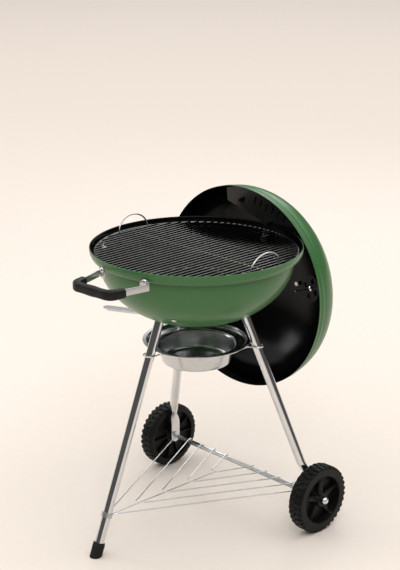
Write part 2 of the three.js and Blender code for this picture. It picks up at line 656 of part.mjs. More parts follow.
/** A stamped angle bracket on the bowl's inside, with a ledge that a grate's rim rests on. */
function ledge(ledgeTop, grateRadius, bearing) {
  const { width, plate, height, ledge: seat } = bracket;
  const far = grateRadius + 60;
  const near = grateRadius - seat;
  const flat = box(at(far - near, width, plate), at((far + near) / 2, 0, ledgeTop - plate / 2 - gap));
  const upright = box(at(90, width, height), at(grateRadius, 0, ledgeTop - gap - plate / 2 - height / 2));
  const turn = [0, 0, bearing];
  const inside = (shrink) => revolve([[0, bowl.rimHeight - 2.5], ...bowlInside(shrink)], roundSides);
  const skin = upright.rotate(turn).subtract(inside(2 * gap + plate));
  return join([flat.rotate(turn), skin]).intersect(inside(2 * gap));
}

const charcoalLedges = [["front", -60], ["right", 60], ["left", 180]];

/** The bolt of a charcoal ledge: where its head sits on the bowl's outside, and the way that it runs. */
function ledgeBolt(bearing) {
  const z = charcoalSeat - bracket.boltDrop;
  const drop = (bodyTop - z) / bowl.bodyDepth;
  const radius = bodyRadius * Math.sqrt(1 - drop ** 2);
  const inwards = polar(-radius / bodyRadius ** 2, bearing, (bodyTop - z) / bowl.bodyDepth ** 2).normalize();
  return { seat: polar(radius, bearing, z).addScaledVector(inwards, -2 * gap), inwards };
}
const ledgeHoles = () => charcoalLedges.map(([, bearing]) => {
  const { seat, inwards } = ledgeBolt(bearing);
  return boltHole(seat, inwards, 14);
});

function addGrates() {
  part(stand, "cooking_grate", grate(cookingGrate, cookingRadius, cookingTop), grateSteel);
  part(stand, "charcoal_grate", grate(charcoalGrate, charcoalGrate.radius, charcoalTop), grateSteel);
  const { halfWidth, height, wire: loopWire, inset } = grateLoop;
  const loopRadius = cookingRadius - inset;
  for (const [name, side] of [["right", 1], ["left", -1]]) {
    const low = cookingTop + gap + loopWire * 0.2;
    const points = Array.from({ length: 13 }, (_, i) => {
      const turn = Math.PI * (i / 12);
      const y = halfWidth * Math.cos(turn);
      return at(side * (loopRadius - 8 + 6 * Math.sin(turn)), y, low + height * Math.sin(turn));
    });
    const curve = new THREE.CatmullRomCurve3(points, false, "centripetal");
    part(stand, `grate_loop_${name}`, wire(curve, 16, loopWire, 5), chrome);
  }
  for (const [name, bearing] of [["rear", 90], ["right", -30], ["left", 210]]) {
    part(stand, `cooking_grate_ledge_${name}`, ledge(cookingSeat, cookingRadius, bearing), steel);
  }
  for (const [name, bearing] of charcoalLedges) {
    const { seat, inwards } = ledgeBolt(bearing);
    const bracketBody = ledge(charcoalSeat, charcoalGrate.radius, bearing);
    part(stand, `charcoal_grate_ledge_${name}`, cut(bracketBody, [boltHole(seat, inwards, 14)]), steel);
    part(stand, `charcoal_ledge_bolt_${name}`, boltAt(seat, inwards, 9), steel);
  }
}

// ---------------------------------------------------------------- lid, upright with its rim at z = 0

const domeInside = { radius: domeRadius - lid.wall, depth: lid.domeDepth - lid.wall };

function lidShell() {
  const { domeDepth, bandHeight, wall } = lid;
  const rimRadius = lidRadius;
  const up = (points) => points.map(([r, z]) => [r, z + bandHeight]);
  return revolve([
    [rimRadius - wall - 1, 0], [rimRadius, 0], [rimRadius, 4], [rimRadius - 2, 6],
    [rimRadius - 2, bandHeight - 5],
    ...up(quarter(domeRadius, domeDepth, 10)).reverse(),
    ...up(quarter(domeInside.radius, domeInside.depth, 10)),
    [rimRadius - 2 - wall, bandHeight - 6], [rimRadius - wall - 1, 5],
  ], roundSides);
}

/** The lid's hanging plate: a louvred segment across the dome with a tongue for the bowl's rim. */
function hookPlate() {
  const { depth, plate, chord, halfChord, tongue, seat, tongueReach } = hook;
  const reach = domeInside.radius * Math.sqrt(1 - ((depth - lid.bandHeight) / domeInside.depth) ** 2) - 3;
  const start = Math.asin((halfChord + 14) / reach);
  const arc = Array.from({ length: 13 }, (_, i) => {
    const turn = start - (2 * start * i) / 12;
    return new THREE.Vector2(reach * Math.sin(turn), reach * Math.cos(turn));
  });
  const outline = [new THREE.Vector2(-halfChord, chord), new THREE.Vector2(halfChord, chord), ...arc];
  const hole = (corners) =>
    slab(corners.map(([u, v]) => new THREE.Vector2(u, chord + v)), depth - 1, plate + 2);
  const slots = Array.from({ length: louvre.count }, (_, i) => {
    const { pitch, width, lean, start: low, length } = louvre;
    const x = (i - (louvre.count - 1) / 2) * pitch - width / 2;
    return hole([[x, low], [x + width, low], [x + width + lean, low + length], [x + lean, low + length]]);
  });
  const eyes = [-1, 1].map((side) => {
    const x = side * eye.spread;
    return hole([[x - eye.halfWidth, eye.start], [x + eye.halfWidth, eye.start],
      [x - side * eye.lean, eye.start + eye.height]]);
  });
  const flat = cut(slab(outline, depth, plate), [...slots, ...eyes]);
  const over = box(
    at(tongue, plate, tongueReach + plate),
    at(0, chord + seat + plate / 2, depth - tongueReach / 2 + plate / 2));
  const tip = box(at(tongue, 8, plate), at(0, chord + seat - 4 + plate / 2, depth - tongueReach + plate / 2));
  return join([flat, over, tip]);
}

/** The frame of the vent: on the dome at the vent's offset and bearing, +Z out along the dome's normal. */
function ventFrame() {
  const { offset, bearing } = vent;
  const [a, b] = [domeRadius, lid.domeDepth];
  const height = lid.bandHeight + arch(offset, a, b);
  const slope = Math.atan((b * offset) / (a * a) / Math.sqrt(1 - (offset / a) ** 2));
  const place = polar(offset, 90 + bearing, height);
  const normal = polar(Math.sin(slope), 90 + bearing, Math.cos(slope));
  return new THREE.Matrix4().compose(
    place, new THREE.Quaternion().setFromUnitVectors(at(0, 0, 1), normal), at(1, 1, 1)).elements;
}

function addLid() {
  const ventPlace = ventFrame();
  const { discRadius, holeRadius, holeCircle, holes, stem } = vent;
  const ventHole = (i, radius) => {
    const centre = polar(holeCircle, (360 / holes) * i);
    return bar(centre.clone().setZ(-30), centre.clone().setZ(30), radius, 10);
  };
  const ventHoles = Array.from({ length: holes }, (_, i) => ventHole(i, holeRadius));
  const spindle = bar(at(0, 0, -30), at(0, 0, 30), 4 + runningGap, 12);
  const fixing = lidHandleParts();
  const shell = cut(lidShell(), [...ventHoles, spindle].map((b) => b.transform(ventPlace)));
  part(hanging, "lid", cut(shell, fixing.holes), green);
  part(hanging, "lid_hook_plate", hookPlate(), black);

  // The damper is dished to follow the dome inside; the dial outside turns it.
  const curve = 460;
  const dish = (r) => -lid.wall - 1.6 - (r * r) / (2 * curve);
  const rings = [0, discRadius / 2, discRadius];
  const under = rings.map((r) => [r, dish(r) - 1.5]);
  const over = rings.map((r) => [r, dish(r)]).reverse();
  const disc = revolve([...under, ...over], 18);
  const damper = cut(disc, [...ventHoles, bar(at(0, 0, -30), at(0, 0, 30), 4 + gap, 12)]);
  part(hanging, "vent_damper", damper.transform(ventPlace), steel);
  const spindleBody = revolve([
    [0, -stem], [2.2, -stem + 3], [2.2, -12], [8, -10], [8, dish(0) - 1.5 - gap], [4, dish(0) - 1.5 - gap],
    [4, 4], [0, 4],
  ], 12);
  part(hanging, "thermometer_stem", spindleBody.transform(ventPlace), chrome);
  const dial = revolve([
    [0, 4 + gap], [4 + gap, 4 + gap], [4 + gap, 2.5], [26, 2.5], [27, 5], [25, 14], [0, 14],
  ], 24);
  part(hanging, "thermometer_dial", dial.transform(ventPlace), steel);

  part(hanging, "lid_handle_strap", fixing.strap, steel);
  part(hanging, "lid_handle_grip", fixing.grip, plastic);
  for (const [name, body] of fixing.fasteners) part(hanging, name, body, steel);
}

/** The lid's handle over the middle of the dome, with its bolts and the holes that they need. */
function lidHandleParts() {
  const { baseHalf, gripHalf, reach } = lidHandle;
  const outside = (x) => lid.bandHeight + arch(x, domeRadius, lid.domeDepth);
  const lift = gap + 0.4 + strap.thickness / 2;
  const footHeight = outside(baseHalf) + lift;
  const { bent, grip: moulded } = handle(footHeight, baseHalf, gripHalf, reach);
  const place = planeInto(at(1, 0, 0), at(0, 0, 1), at(0, 0, 0));
  const inner = baseHalf - tab.length;
  const bodies = [bent.transform(place)];
  const holes = [];
  const fasteners = [];
  for (const [name, side] of [["right", 1], ["left", -1]]) {
    const path = [new THREE.Vector2(side * inner, outside(inner) + lift + 0.6),
      new THREE.Vector2(side * (baseHalf + 1), footHeight)];
    bodies.push(slab(strip(path, strap.thickness), -strap.width / 2, strap.width).transform(place));
    const x = side * (inner + tab.length * 0.4);
    const seat = at(x, 0, outside(x) + lift + 0.6 + strap.thickness / 2 + gap + 0.9);
    const through = 12;
    fasteners.push([`lid_handle_bolt_${name}`, boltAt(seat, at(0, 0, -1), through + 5)]);
    fasteners.push([`lid_handle_nut_${name}`, nutAt(seat, at(0, 0, -1), through)]);
    holes.push(boltHole(seat, at(0, 0, -1), through + 4));
  }
  return { strap: cut(join(bodies), holes), grip: moulded.transform(place), holes, fasteners };
}

/** Hangs the upright lid up: its +Z points away from the opening and its +Y towards the hook. */
function hangLid() {
  const { x, behindRim, belowRim, opening, roll } = hangingLid;
  const into = polar(-1, opening);
  const across = polar(1, opening + 90);
  const hookWay = across.multiplyScalar(Math.sin(radians(roll))).add(at(0, 0, Math.cos(radians(roll))));
  const matrix = new THREE.Matrix4().makeBasis(hookWay.clone().cross(into), hookWay, into);
  hanging.quaternion.setFromRotationMatrix(matrix);
  hanging.position.set(x, bowl.rimRadius + behindRim, bowl.rimHeight - belowRim);
}

// ---------------------------------------------------------------- assembly

const handleHoles = addBowlHandle();
part(stand, "bowl", cut(bowlBlank, [...ashSlots, shaftHole, ...handleHoles, ...ledgeHoles()]), green);
for (const [name, bearing] of Object.entries(legBearings)) addStub(name, bearing);
addFrontLeg();
addWheelLeg("right", legBearings.right, 1);
addWheelLeg("left", legBearings.left, -1);
addAxle();
addWheel("right", 1);
addWheel("left", -1);
addRack();
addAshPan();
addSweeper();
addGrates();
addLid();
hangLid();

// The origin is under the middle of the object's box, on the floor.
grill.updateMatrixWorld(true);
const extent = new THREE.Box3().setFromObject(grill, true);
const middle = extent.getCenter(at(0, 0, 0));
for (const group of [stand, hanging]) group.position.sub(at(middle.x, middle.y, extent.min.z));
grill.updateMatrixWorld(true);

export default grill;
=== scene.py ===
# %% [markdown]
# # A kettle charcoal grill, finished in Blender
# The grill comes in as a fixed frame of simple solids with real sizes. This lesson gives each
# visible piece its fine surface and its finish, and leaves every size as it is.

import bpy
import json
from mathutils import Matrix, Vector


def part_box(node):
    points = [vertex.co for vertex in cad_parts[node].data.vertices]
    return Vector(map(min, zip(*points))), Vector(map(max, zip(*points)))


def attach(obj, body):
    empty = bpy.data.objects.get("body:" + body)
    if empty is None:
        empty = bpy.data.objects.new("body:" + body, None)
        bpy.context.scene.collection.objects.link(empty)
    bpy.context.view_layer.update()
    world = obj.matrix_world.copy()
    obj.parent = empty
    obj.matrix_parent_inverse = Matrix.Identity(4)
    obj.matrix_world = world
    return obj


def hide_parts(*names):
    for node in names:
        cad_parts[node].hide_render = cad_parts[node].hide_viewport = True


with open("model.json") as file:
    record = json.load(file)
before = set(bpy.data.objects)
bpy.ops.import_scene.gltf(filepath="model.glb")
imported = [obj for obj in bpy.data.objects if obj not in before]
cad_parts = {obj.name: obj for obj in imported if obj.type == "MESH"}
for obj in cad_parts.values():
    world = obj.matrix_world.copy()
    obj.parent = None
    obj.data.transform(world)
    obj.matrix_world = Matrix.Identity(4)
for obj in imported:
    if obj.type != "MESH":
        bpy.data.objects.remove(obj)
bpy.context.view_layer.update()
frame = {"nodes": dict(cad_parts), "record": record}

import json

import bmesh
import bpy
import numpy as np
from mathutils import Vector

# %% [markdown]
# ## Camera, floor and light
# A product shot uses a long lens, so the legs stay straight. The camera stands under four metres
# off and a little above head height, looks down, and takes in the grill from the corner between
# its front leg and its right wheel. The floor is one pale plain sheet, wide enough to be the background too.

# %% Camera
camera = bpy.data.objects.new("camera", bpy.data.cameras.new("camera"))
camera.data.lens = 92.26
camera.data.sensor_width = 36
rim_low, rim_high = (np.array(corner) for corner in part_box("bowl"))
kettle_axis = np.array([(rim_low[0] + rim_high[0]) / 2, (rim_low[1] + rim_high[1]) / 2, 0.0])
camera.location = kettle_axis + [2.7061, -2.5644, 1.8900]
camera.rotation_euler = np.radians([71.94, 0.107, 46.36])
bpy.context.scene.collection.objects.link(camera)
bpy.context.scene.camera = camera
bpy.context.scene.view_settings.view_transform = "Standard"
print("camera", round(camera.location.length, 2), "m from the floor's middle")


# %% [markdown]
# Chrome shows what is round it more than its own colour. One wide lamp overhead lights the whole
# floor evenly and leaves everything at eye level dim, so each tube carries a dark stripe from
# the dim surroundings and a bright one from the floor, as polished tube does in a studio. The
# small lamps give the enamel its highlights.

# %% Lamps and surroundings
def lamp(name, place, target, size, watts, tint=(1, 1, 1)):
    """A square soft lamp at a place, facing a target."""
    light = bpy.data.lights.new(name, "AREA")
    light.size, light.energy, light.color = size, watts, tint
    body = bpy.data.objects.new(name, light)
    body.location = place
    body.rotation_euler = (Vector(target) - Vector(place)).to_track_quat("-Z", "Y").to_euler()
    bpy.context.scene.collection.objects.link(body)


middle = (0, 0, 0.5)
lamp("ceiling_lamp", (-1.5, 1.5, 9), (-1.5, 1.5, 0), 28, 3350, (1, 0.985, 0.97))
lamp("key_lamp", (2.6, -2.0, 3.6), middle, 1.1, 26)
lamp("left_lamp", (-3.0, -1.6, 1.5), middle, 0.9, 10)
lamp("rear_lamp", (-1.6, 3.0, 2.8), middle, 1.6, 16)

world = bpy.data.worlds.new("studio")
bpy.context.scene.world = world
world.use_nodes = True
world.node_tree.nodes["Background"].inputs["Color"].default_value = (1.0, 0.965, 0.93, 1)
world.node_tree.nodes["Background"].inputs["Strength"].default_value = 0.1


# %% [markdown]
# ## Surfaces from arrays
# Each new piece is a grid of points worked out in one go, skinned with four-sided faces. A turned
# piece carries a profile round an axis, a wire carries a circle along a path, and an enamelled
# shell is two such grids with a wall between them.

# %% Grids into meshes
def faces_of(rows, columns, wrap_rows, wrap_columns):
    """Corner numbers of the quads between neighbouring rows and columns of a grid."""
    i = np.arange(rows if wrap_rows else rows - 1)[:, None]
    j = np.arange(columns if wrap_columns else columns - 1)[None, :]
    i2, j2 = (i + 1) % rows, (j + 1) % columns
    corners = [i * columns + j, i * columns + j2, i2 * columns + j2, i2 * columns + j]
    return np.stack([c + 0 * i * j for c in corners], -1).reshape(-1, 4)


def mesh_piece(name, points, faces, finishes, choice=None, crease=38, body=None, stands_for=()):
    """A closed mesh object: equal points are merged, faces point outwards, only creases stay sharp."""
    mesh = bpy.data.meshes.new(name)
    mesh.from_pydata(points.reshape(-1, 3), [], faces.tolist())
    for finish in finishes:
        mesh.materials.append(finish)
    if choice is not None:
        mesh.polygons.foreach_set("material_index", np.asarray(choice, np.int32))
    work = bmesh.new()
    work.from_mesh(mesh)
    bmesh.ops.remove_doubles(work, verts=work.verts, dist=1e-6)
    bmesh.ops.dissolve_degenerate(work, edges=work.edges, dist=1e-7)
    bmesh.ops.recalc_face_normals(work, faces=work.faces)
    work.to_mesh(mesh)
    work.free()
    mesh.shade_smooth()
    mesh.set_sharp_from_angle(angle=np.radians(crease))
    piece = bpy.data.objects.new(name, mesh)
    bpy.context.scene.collection.objects.link(piece)
    if body:
        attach(piece, body)
    if stands_for:
        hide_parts(*stands_for)
    print(f"{name}: {len(mesh.polygons)} faces")
    return piece


def skin(name, points, finish, wrap_rows=False, wrap_columns=True, **rest):
    """One grid of points as a piece."""
    rows, columns = points.shape[:2]
    return mesh_piece(name, points, faces_of(rows, columns, wrap_rows, wrap_columns), [finish], **rest)


# %% Profiles and paths
def rounded(points, radius, steps=5):
    """A path with each inner corner replaced by a parabola that starts and ends a set-back from it."""
    points = np.asarray(points, float)
    path = [points[:1]]
    t = np.linspace(0, 1, steps + 1)[:, None]
    for before, corner, after in zip(points, points[1:], points[2:]):
        reach = min(radius, 0.45 * np.linalg.norm(before - corner), 0.45 * np.linalg.norm(after - corner))
        a = corner + reach * (before - corner) / np.linalg.norm(before - corner)
        b = corner + reach * (after - corner) / np.linalg.norm(after - corner)
        path.append((1 - t) ** 2 * a + 2 * t * (1 - t) * corner + t**2 * b)
    return np.vstack(path + [points[-1:]])


def evenly(path, count):
    """The path cut into equal lengths."""
    path = np.asarray(path, float)
    run = np.r_[0, np.cumsum(np.linalg.norm(np.diff(path, axis=0), axis=1))]
    stops = np.linspace(0, run[-1], count)
    return np.stack([np.interp(stops, run, column) for column in path.T], 1)


def turned(profile, sides=128):
    """Profile points (radius, height) carried round the vertical: x = r cos a, y = r sin a."""
    profile = np.asarray(profile, float)
    a = 2 * np.pi * np.arange(sides) / sides
    r, z = profile[:, :1], profile[:, 1:]
    return np.stack([r * np.cos(a), r * np.sin(a), z + 0 * a], -1)


def carried(path, up, section, closed=False, scale=None):
    """A section (across, up) carried along a path: point = path + across * side + height * up.
    The side is square to the path and to the given up, so the section never twists."""
    path = np.asarray(path, float)
    along = np.roll(path, -1, 0) - np.roll(path, 1, 0) if closed else np.gradient(path, axis=0)
    along /= np.linalg.norm(along, axis=1, keepdims=True)
    side = np.cross(along, np.broadcast_to(up, path.shape))
    side /= np.linalg.norm(side, axis=1, keepdims=True)
    lift = np.cross(side, along)
    size = np.ones((len(path), 1)) if scale is None else scale[:, None]
    across, height = section[None, :, 0] * size, section[None, :, 1] * size
    grid = path[:, None] + across[..., None] * side[:, None] + height[..., None] * lift[:, None]
    if closed:
        return grid
    return np.concatenate([path[:1, None] + 0 * grid[:1], grid, path[-1:, None] + 0 * grid[-1:]])


def circle(radius, sides=12):
    """A round section."""
    a = 2 * np.pi * np.arange(sides) / sides
    return radius * np.stack([np.cos(a), np.sin(a)], 1)


def soft_box(width, height, corner, steps=5):
    """A rectangular section with round corners: a quarter circle at each corner's own centre."""
    quarter = np.radians(np.linspace(0, 90, steps))
    parts = []
    for k, (sx, sy) in enumerate([(1, 1), (-1, 1), (-1, -1), (1, -1)]):
        a = quarter + k * np.pi / 2
        centre = np.array([sx * (width / 2 - corner), sy * (height / 2 - corner)])
        parts.append(centre + corner * np.stack([np.cos(a), np.sin(a)], 1))
    return np.vstack(parts)


def rounded_ends(count):
    """A size for each ring of a wire that is 1 along it and smaller at both ends."""
    size = np.ones(count)
    size[[0, -1]] = 0.55
    return size


# %% The grill's own frames
mm = 0.001


def on_kettle(points):
    """Millimetres from the floor under the kettle's axis, as metres in the grill's frame."""
    return np.asarray(points, float) * mm + kettle_axis


def polar(radius, bearing, z=0.0):
    """The point at a radius, bearing in degrees from +X, and height."""
    a = np.radians(bearing)
    return np.stack(np.broadcast_arrays(radius * np.cos(a), radius * np.sin(a), z), -1)


print("kettle axis", np.round(kettle_axis, 4))


# %% [markdown]
# ## Finishes
# Shader arithmetic reads best as arithmetic, so a small class wraps a socket and gives it the
# usual operators. Every other node comes from one method.

# %% Shader arithmetic
class Value:
    """A shader socket that adds a Math node for each operator used on it."""

    def __init__(self, tree, socket):
        self.tree, self.socket = tree, socket

    def _math(self, operation, first, second):
        node = self.tree.nodes.new("ShaderNodeMath")
        node.operation = operation
        for slot, item in zip(node.inputs, (first, second)):
            if isinstance(item, Value):
                self.tree.links.new(item.socket, slot)
            else:
                slot.default_value = item
        return Value(self.tree, node.outputs[0])

    def __add__(self, other):
        return self._math("ADD", self, other)

    def __radd__(self, other):
        return self._math("ADD", other, self)

    def __mul__(self, other):
        return self._math("MULTIPLY", self, other)

    def __rmul__(self, other):
        return self._math("MULTIPLY", other, self)


class Finish:
    """A material with its Principled shader."""

    def __init__(self, name, **constants):
        self.material = bpy.data.materials.new(name)
        self.material.use_nodes = True
        self.tree = self.material.node_tree
        self.shader = self.tree.nodes["Principled BSDF"]
        for socket, value in constants.items():
            self.shader.inputs[socket.replace("_", " ").title()].default_value = value
        self.place = self.node("ShaderNodeTexCoord", output="Object")

    def node(self, kind, settings=(), sockets=(), output=0):
        """A node of a kind: its settings first, then its sockets' values or links."""
        node = self.tree.nodes.new(kind)
        for name, value in dict(settings).items():
            setattr(node, name, value)
        for key, value in dict(sockets).items():
            if isinstance(value, Value):
                self.tree.links.new(value.socket, node.inputs[key])
            else:
                node.inputs[key].default_value = value
        return Value(self.tree, node.outputs[output])

    def noise(self, scale, detail=2.0, stretch=(1, 1, 1)):
        """Cloudy variation from 0 to 1, finer as the scale grows, in cycles per metre."""
        stretched = self.node("ShaderNodeMapping", {}, {"Vector": self.place, "Scale": stretch})
        return self.node("ShaderNodeTexNoise", {}, {"Vector": stretched, "Scale": scale, "Detail": detail})

    def blend(self, factor, first, second):
        """One colour turning into another."""
        return self.node("ShaderNodeMix", {"data_type": "RGBA"}, {0: factor, 6: first, 7: second}, 2)

    def feed(self, socket, value):
        """Links what varies over the surface to the shader."""
        self.tree.links.new(value.socket, self.shader.inputs[socket])

    def bump(self, height, depth):
        """Relief of a depth in metres."""
        self.feed("Normal", self.node("ShaderNodeBump", {}, {"Height": height, "Distance": depth}))


def colour(red, green, blue):
    """A colour from display numbers of 0 to 255, as the shader wants it."""
    c = np.array([red, green, blue]) / 255
    return (*np.where(c <= 0.04045, c / 12.92, ((c + 0.055) / 1.055) ** 2.4), 1.0)


# %% [markdown]
# Porcelain enamel is glass fused to steel: a deep gloss over a colour that is very slightly
# cloudy, with the faint orange peel of a fired coat. The inside of both shells is the same coat
# in black.

# %% Enamels
def enamel(name, shade, cloud, roughness, gloss, mirror):
    """Gloss enamel in a shade with a cloudy second shade."""
    finish = Finish(name, coat_weight=gloss, coat_roughness=0.08)
    finish.shader.inputs["Specular IOR Level"].default_value = mirror
    clouds = finish.noise(7, 3)
    finish.feed("Base Color", finish.blend(clouds, shade, cloud))
    finish.feed("Roughness", finish.noise(30, 3) * 0.12 + roughness)
    finish.bump(finish.noise(420, 2), 0.00012)
    return finish.material


green_enamel = enamel("green_enamel", colour(58, 106, 60), colour(66, 114, 66), 0.26, 0.12, 0.28)
black_enamel = enamel("black_enamel", colour(2, 3, 3), colour(5, 6, 5), 0.12, 0.0, 0.14)
dark_enamel = enamel("dull_black_enamel", colour(10, 11, 10), colour(17, 18, 17), 0.4, 0.0, 0.3)
plate_enamel = enamel("plate_black_enamel", colour(6, 7, 6), colour(11, 12, 11), 0.22, 0.2, 0.4)
print("enamels", green_enamel.name, black_enamel.name, dark_enamel.name, plate_enamel.name)


# %% [markdown]
# Chrome plate is nearly a mirror. The zinc-plated straps and bolts are duller, with the fine
# lines of rolled sheet, and the grate's plated wire has lost some shine. Where the middle cross
# wire is welded it has taken a straw tint.

# %% Metals
def metal(name, shade, worn, roughness, spread, scale=60, stretch=(1, 1, 1), relief=0.0):
    """Bare or plated metal: its shade wanders towards a worn shade and its gloss wanders with it."""
    finish = Finish(name, metallic=1.0)
    wear = finish.noise(scale, 4, stretch)
    finish.feed("Base Color", finish.blend(wear, shade, worn))
    finish.feed("Roughness", wear * spread + roughness)
    if relief:
        finish.bump(finish.noise(scale * 6, 2, stretch), relief)
    return finish.material


chrome = metal("chrome", colour(226, 228, 230), colour(206, 208, 210), 0.05, 0.07, 25)
zinc = metal("zinc_plate", colour(205, 206, 206), colour(176, 178, 179), 0.24, 0.14, 90, (1, 1, 6), 0.00003)
pan_metal = metal("pan_aluminium", colour(214, 216, 217), colour(190, 193, 194), 0.14, 0.12, 40, (1, 1, 4))
grate_wire = metal("grate_wire", colour(124, 126, 124), colour(74, 75, 73), 0.14, 0.14, 110)
loop_wire = metal("loop_wire", colour(222, 223, 224), colour(200, 202, 204), 0.26, 0.1, 60)
straw_wire = metal("straw_tinted_wire", colour(206, 186, 132), colour(160, 140, 96), 0.34, 0.2, 200)
print("metals ready")


# %% [markdown]
# The wheels and grips are moulded plastic with a fine grain, and the foot is rubber.

# %% Plastics and rubber
def moulded(name, shade, worn, roughness, grain, depth):
    """Moulded plastic or rubber with a fine grain."""
    finish = Finish(name)
    finish.shader.inputs["Specular IOR Level"].default_value = 0.2
    finish.feed("Base Color", finish.blend(finish.noise(45, 3), shade, worn))
    finish.feed("Roughness", finish.noise(70, 2) * 0.14 + roughness)
    finish.bump(finish.noise(grain, 2), depth)
    return finish.material


grip_plastic = moulded("grip_plastic", colour(18, 18, 19), colour(26, 26, 27), 0.34, 900, 0.00006)
wheel_plastic = moulded("wheel_plastic", colour(9, 10, 9), colour(14, 15, 14), 0.36, 700, 0.00008)
foot_rubber = moulded("foot_rubber", colour(24, 25, 26), colour(33, 34, 35), 0.6, 500, 0.0001)
floor_paint = moulded("floor_paint", colour(238, 228, 219), colour(234, 223, 213), 0.6, 40, 0.0)
print("plastics ready")

# %% Floor
x, y = np.meshgrid(np.linspace(-22, 22, 3), np.linspace(-22, 22, 3), indexing="ij")
floor = skin("floor", np.stack([x, y, 0 * x - 0.0005], -1), floor_paint, wrap_columns=False)


# %% [markdown]
# ## Bowl
# The bowl is one pressed steel sheet, so it is made as a thin shell: an outside grid, an inside
# grid, and a wall where the sheet ends, at the rim and round the three ash slots. The profile is
# half an ellipse with one pressed crease, a step, and a band up to the rim.

# %% Walled shells
def walled(name, outside, inside, keep, outer, inner, **rest):
    """Two grids a wall apart. Cells that aren't kept are open, and each edge of the kept ones is walled."""
    rows, columns = outside.shape[:2]
    quads = faces_of(rows, columns, False, True)
    kept = keep.ravel()
    shift = rows * columns
    grid = np.pad(keep, ((1, 1), (0, 0)))
    number = np.arange(rows)[:, None] * columns + np.arange(columns)[None, :]
    ring_edge = grid[1:] != grid[:-1]
    a = number[ring_edge]
    b = np.roll(number, -1, 1)[ring_edge]
    across = np.stack([a, b, b + shift, a + shift], 1)
    side_edge = keep != np.roll(keep, 1, 1)
    c, d = number[:-1][side_edge], number[1:][side_edge]
    along = np.stack([c, d, d + shift, c + shift], 1)
    faces = np.vstack([quads[kept], quads[kept][:, ::-1] + shift, across, along])
    choice = np.r_[np.zeros(kept.sum(), int), np.ones(len(faces) - kept.sum(), int)]
    points = np.concatenate([outside.reshape(-1, 3), inside.reshape(-1, 3)])
    return mesh_piece(name, points, faces, [outer, inner], choice, **rest)


# %% Bowl
rim_radius, rim_height, band_height, sheet = 285.0, 788.5, 26.5, 1.4
body_radius, body_depth = 262.0, 180.0
body_top = rim_height - band_height - 5
slot_radii, slot_half_width = (38.0, 98.0), 19
columns = 180

crease_radius, crease_depth, crease_width = 163, 2.2, 2.4
crease_start, crease_end = crease_radius - 5, crease_radius + 5

turns = np.concatenate([
    np.arcsin(np.linspace(6.5, slot_radii[0], 6) / body_radius),
    np.arcsin(np.linspace(*slot_radii, 12)[1:] / body_radius),
    np.arcsin(np.linspace(slot_radii[1], crease_start, 28)[1:] / body_radius),
    np.arcsin(np.linspace(crease_start, crease_end, 26)[1:] / body_radius),
    np.linspace(np.arcsin(crease_end / body_radius), np.pi / 2, 90)[1:],
])


def dish(shrink):
    """Half an ellipse (R sin t, top - D cos t) moved inwards, with a pressed crease at one radius."""
    r = (body_radius - shrink) * np.sin(turns)
    z = body_top - (body_depth - shrink) * np.cos(turns)
    crease = crease_depth * np.exp(-(((r - crease_radius) / crease_width) ** 2))
    return np.stack([r - crease * np.sin(turns), z + crease * np.cos(turns)], 1)


outer_band = evenly(rounded([
    [body_radius, body_top], [rim_radius - 7, body_top + 4.5], [rim_radius, body_top + 19],
    [rim_radius, rim_height - 0.6], [rim_radius - 1.4, rim_height]], 5), 30)
rim_inside = rim_radius - sheet - 2.5
inner_band = evenly(rounded([
    [body_radius - sheet, body_top], [rim_radius - 7 - sheet, body_top + 6], [rim_inside, body_top + 20],
    [rim_inside, rim_height - 1], [rim_radius - 1.4, rim_height]], 5), 30)
outside = turned(np.vstack([dish(0), outer_band[1:]]), columns)
inside = turned(np.vstack([dish(sheet), inner_band[1:]]), columns)
one_column = np.radians(360 / columns)
turn_half = np.array([[np.cos(one_column / 2), -np.sin(one_column / 2), 0],
                      [np.sin(one_column / 2), np.cos(one_column / 2), 0], [0, 0, 1]])
outside, inside = outside @ turn_half.T, inside @ turn_half.T

row_radius = np.hypot(outside[:-1, 0, 0], outside[:-1, 0, 1])[:, None] + 1
column_bearing = (np.arange(columns) + 1) * 360 / columns
slot_bearings = np.array([-30, 90, 210])
off_slot = np.abs((column_bearing[None, :] - slot_bearings[:, None] + 180) % 360 - 180).min(0)
in_slot = (row_radius > slot_radii[0]) & (row_radius < slot_radii[1]) & (off_slot < slot_half_width)[None, :]
bowl = walled("enamelled_bowl", on_kettle(outside), on_kettle(inside), ~in_slot, green_enamel, black_enamel,
              body="frame", stands_for=["bowl"])

# %% [markdown]
# ## Lid
# The lid is pressed the same way and hangs on edge behind the bowl. It is made upright about its
# own axis, then every point goes through one turn and one shift that hang it up.

# %% Lid's own frame
opening, roll = np.radians(-87.5), np.radians(16.5)
into = -np.array([np.cos(opening), np.sin(opening), 0])
level = np.array([-np.sin(opening), np.cos(opening), 0])
hook_way = np.sin(roll) * level + np.cos(roll) * np.array([0, 0, 1])
lid_turn = np.stack([np.cross(hook_way, into), hook_way, into], 1)

corners = np.array([v.co for v in frame["nodes"]["lid"].data.vertices])
rim_points = corners[corners @ into < (corners @ into).min() + 0.5 * mm]
lid_middle = (rim_points.min(0) + rim_points.max(0)) / 2


def on_lid(points):
    """Millimetres in the upright lid, rim at zero height, as metres in the grill's frame."""
    return np.asarray(points, float) * mm @ lid_turn.T + lid_middle


print("lid's rim middle", np.round(lid_middle, 4))

# %% Lid
lid_rim, dome_radius, dome_depth, lid_band = 292.6, 287.8, 160.0, 27.0
dome_turns = np.linspace(0, np.pi / 2, 90)


def dome(shrink):
    """A quarter ellipse (R sin t, band + D cos t) moved inwards."""
    return np.stack([(dome_radius - shrink) * np.sin(dome_turns),
                     lid_band + (dome_depth - shrink) * np.cos(dome_turns)], 1)


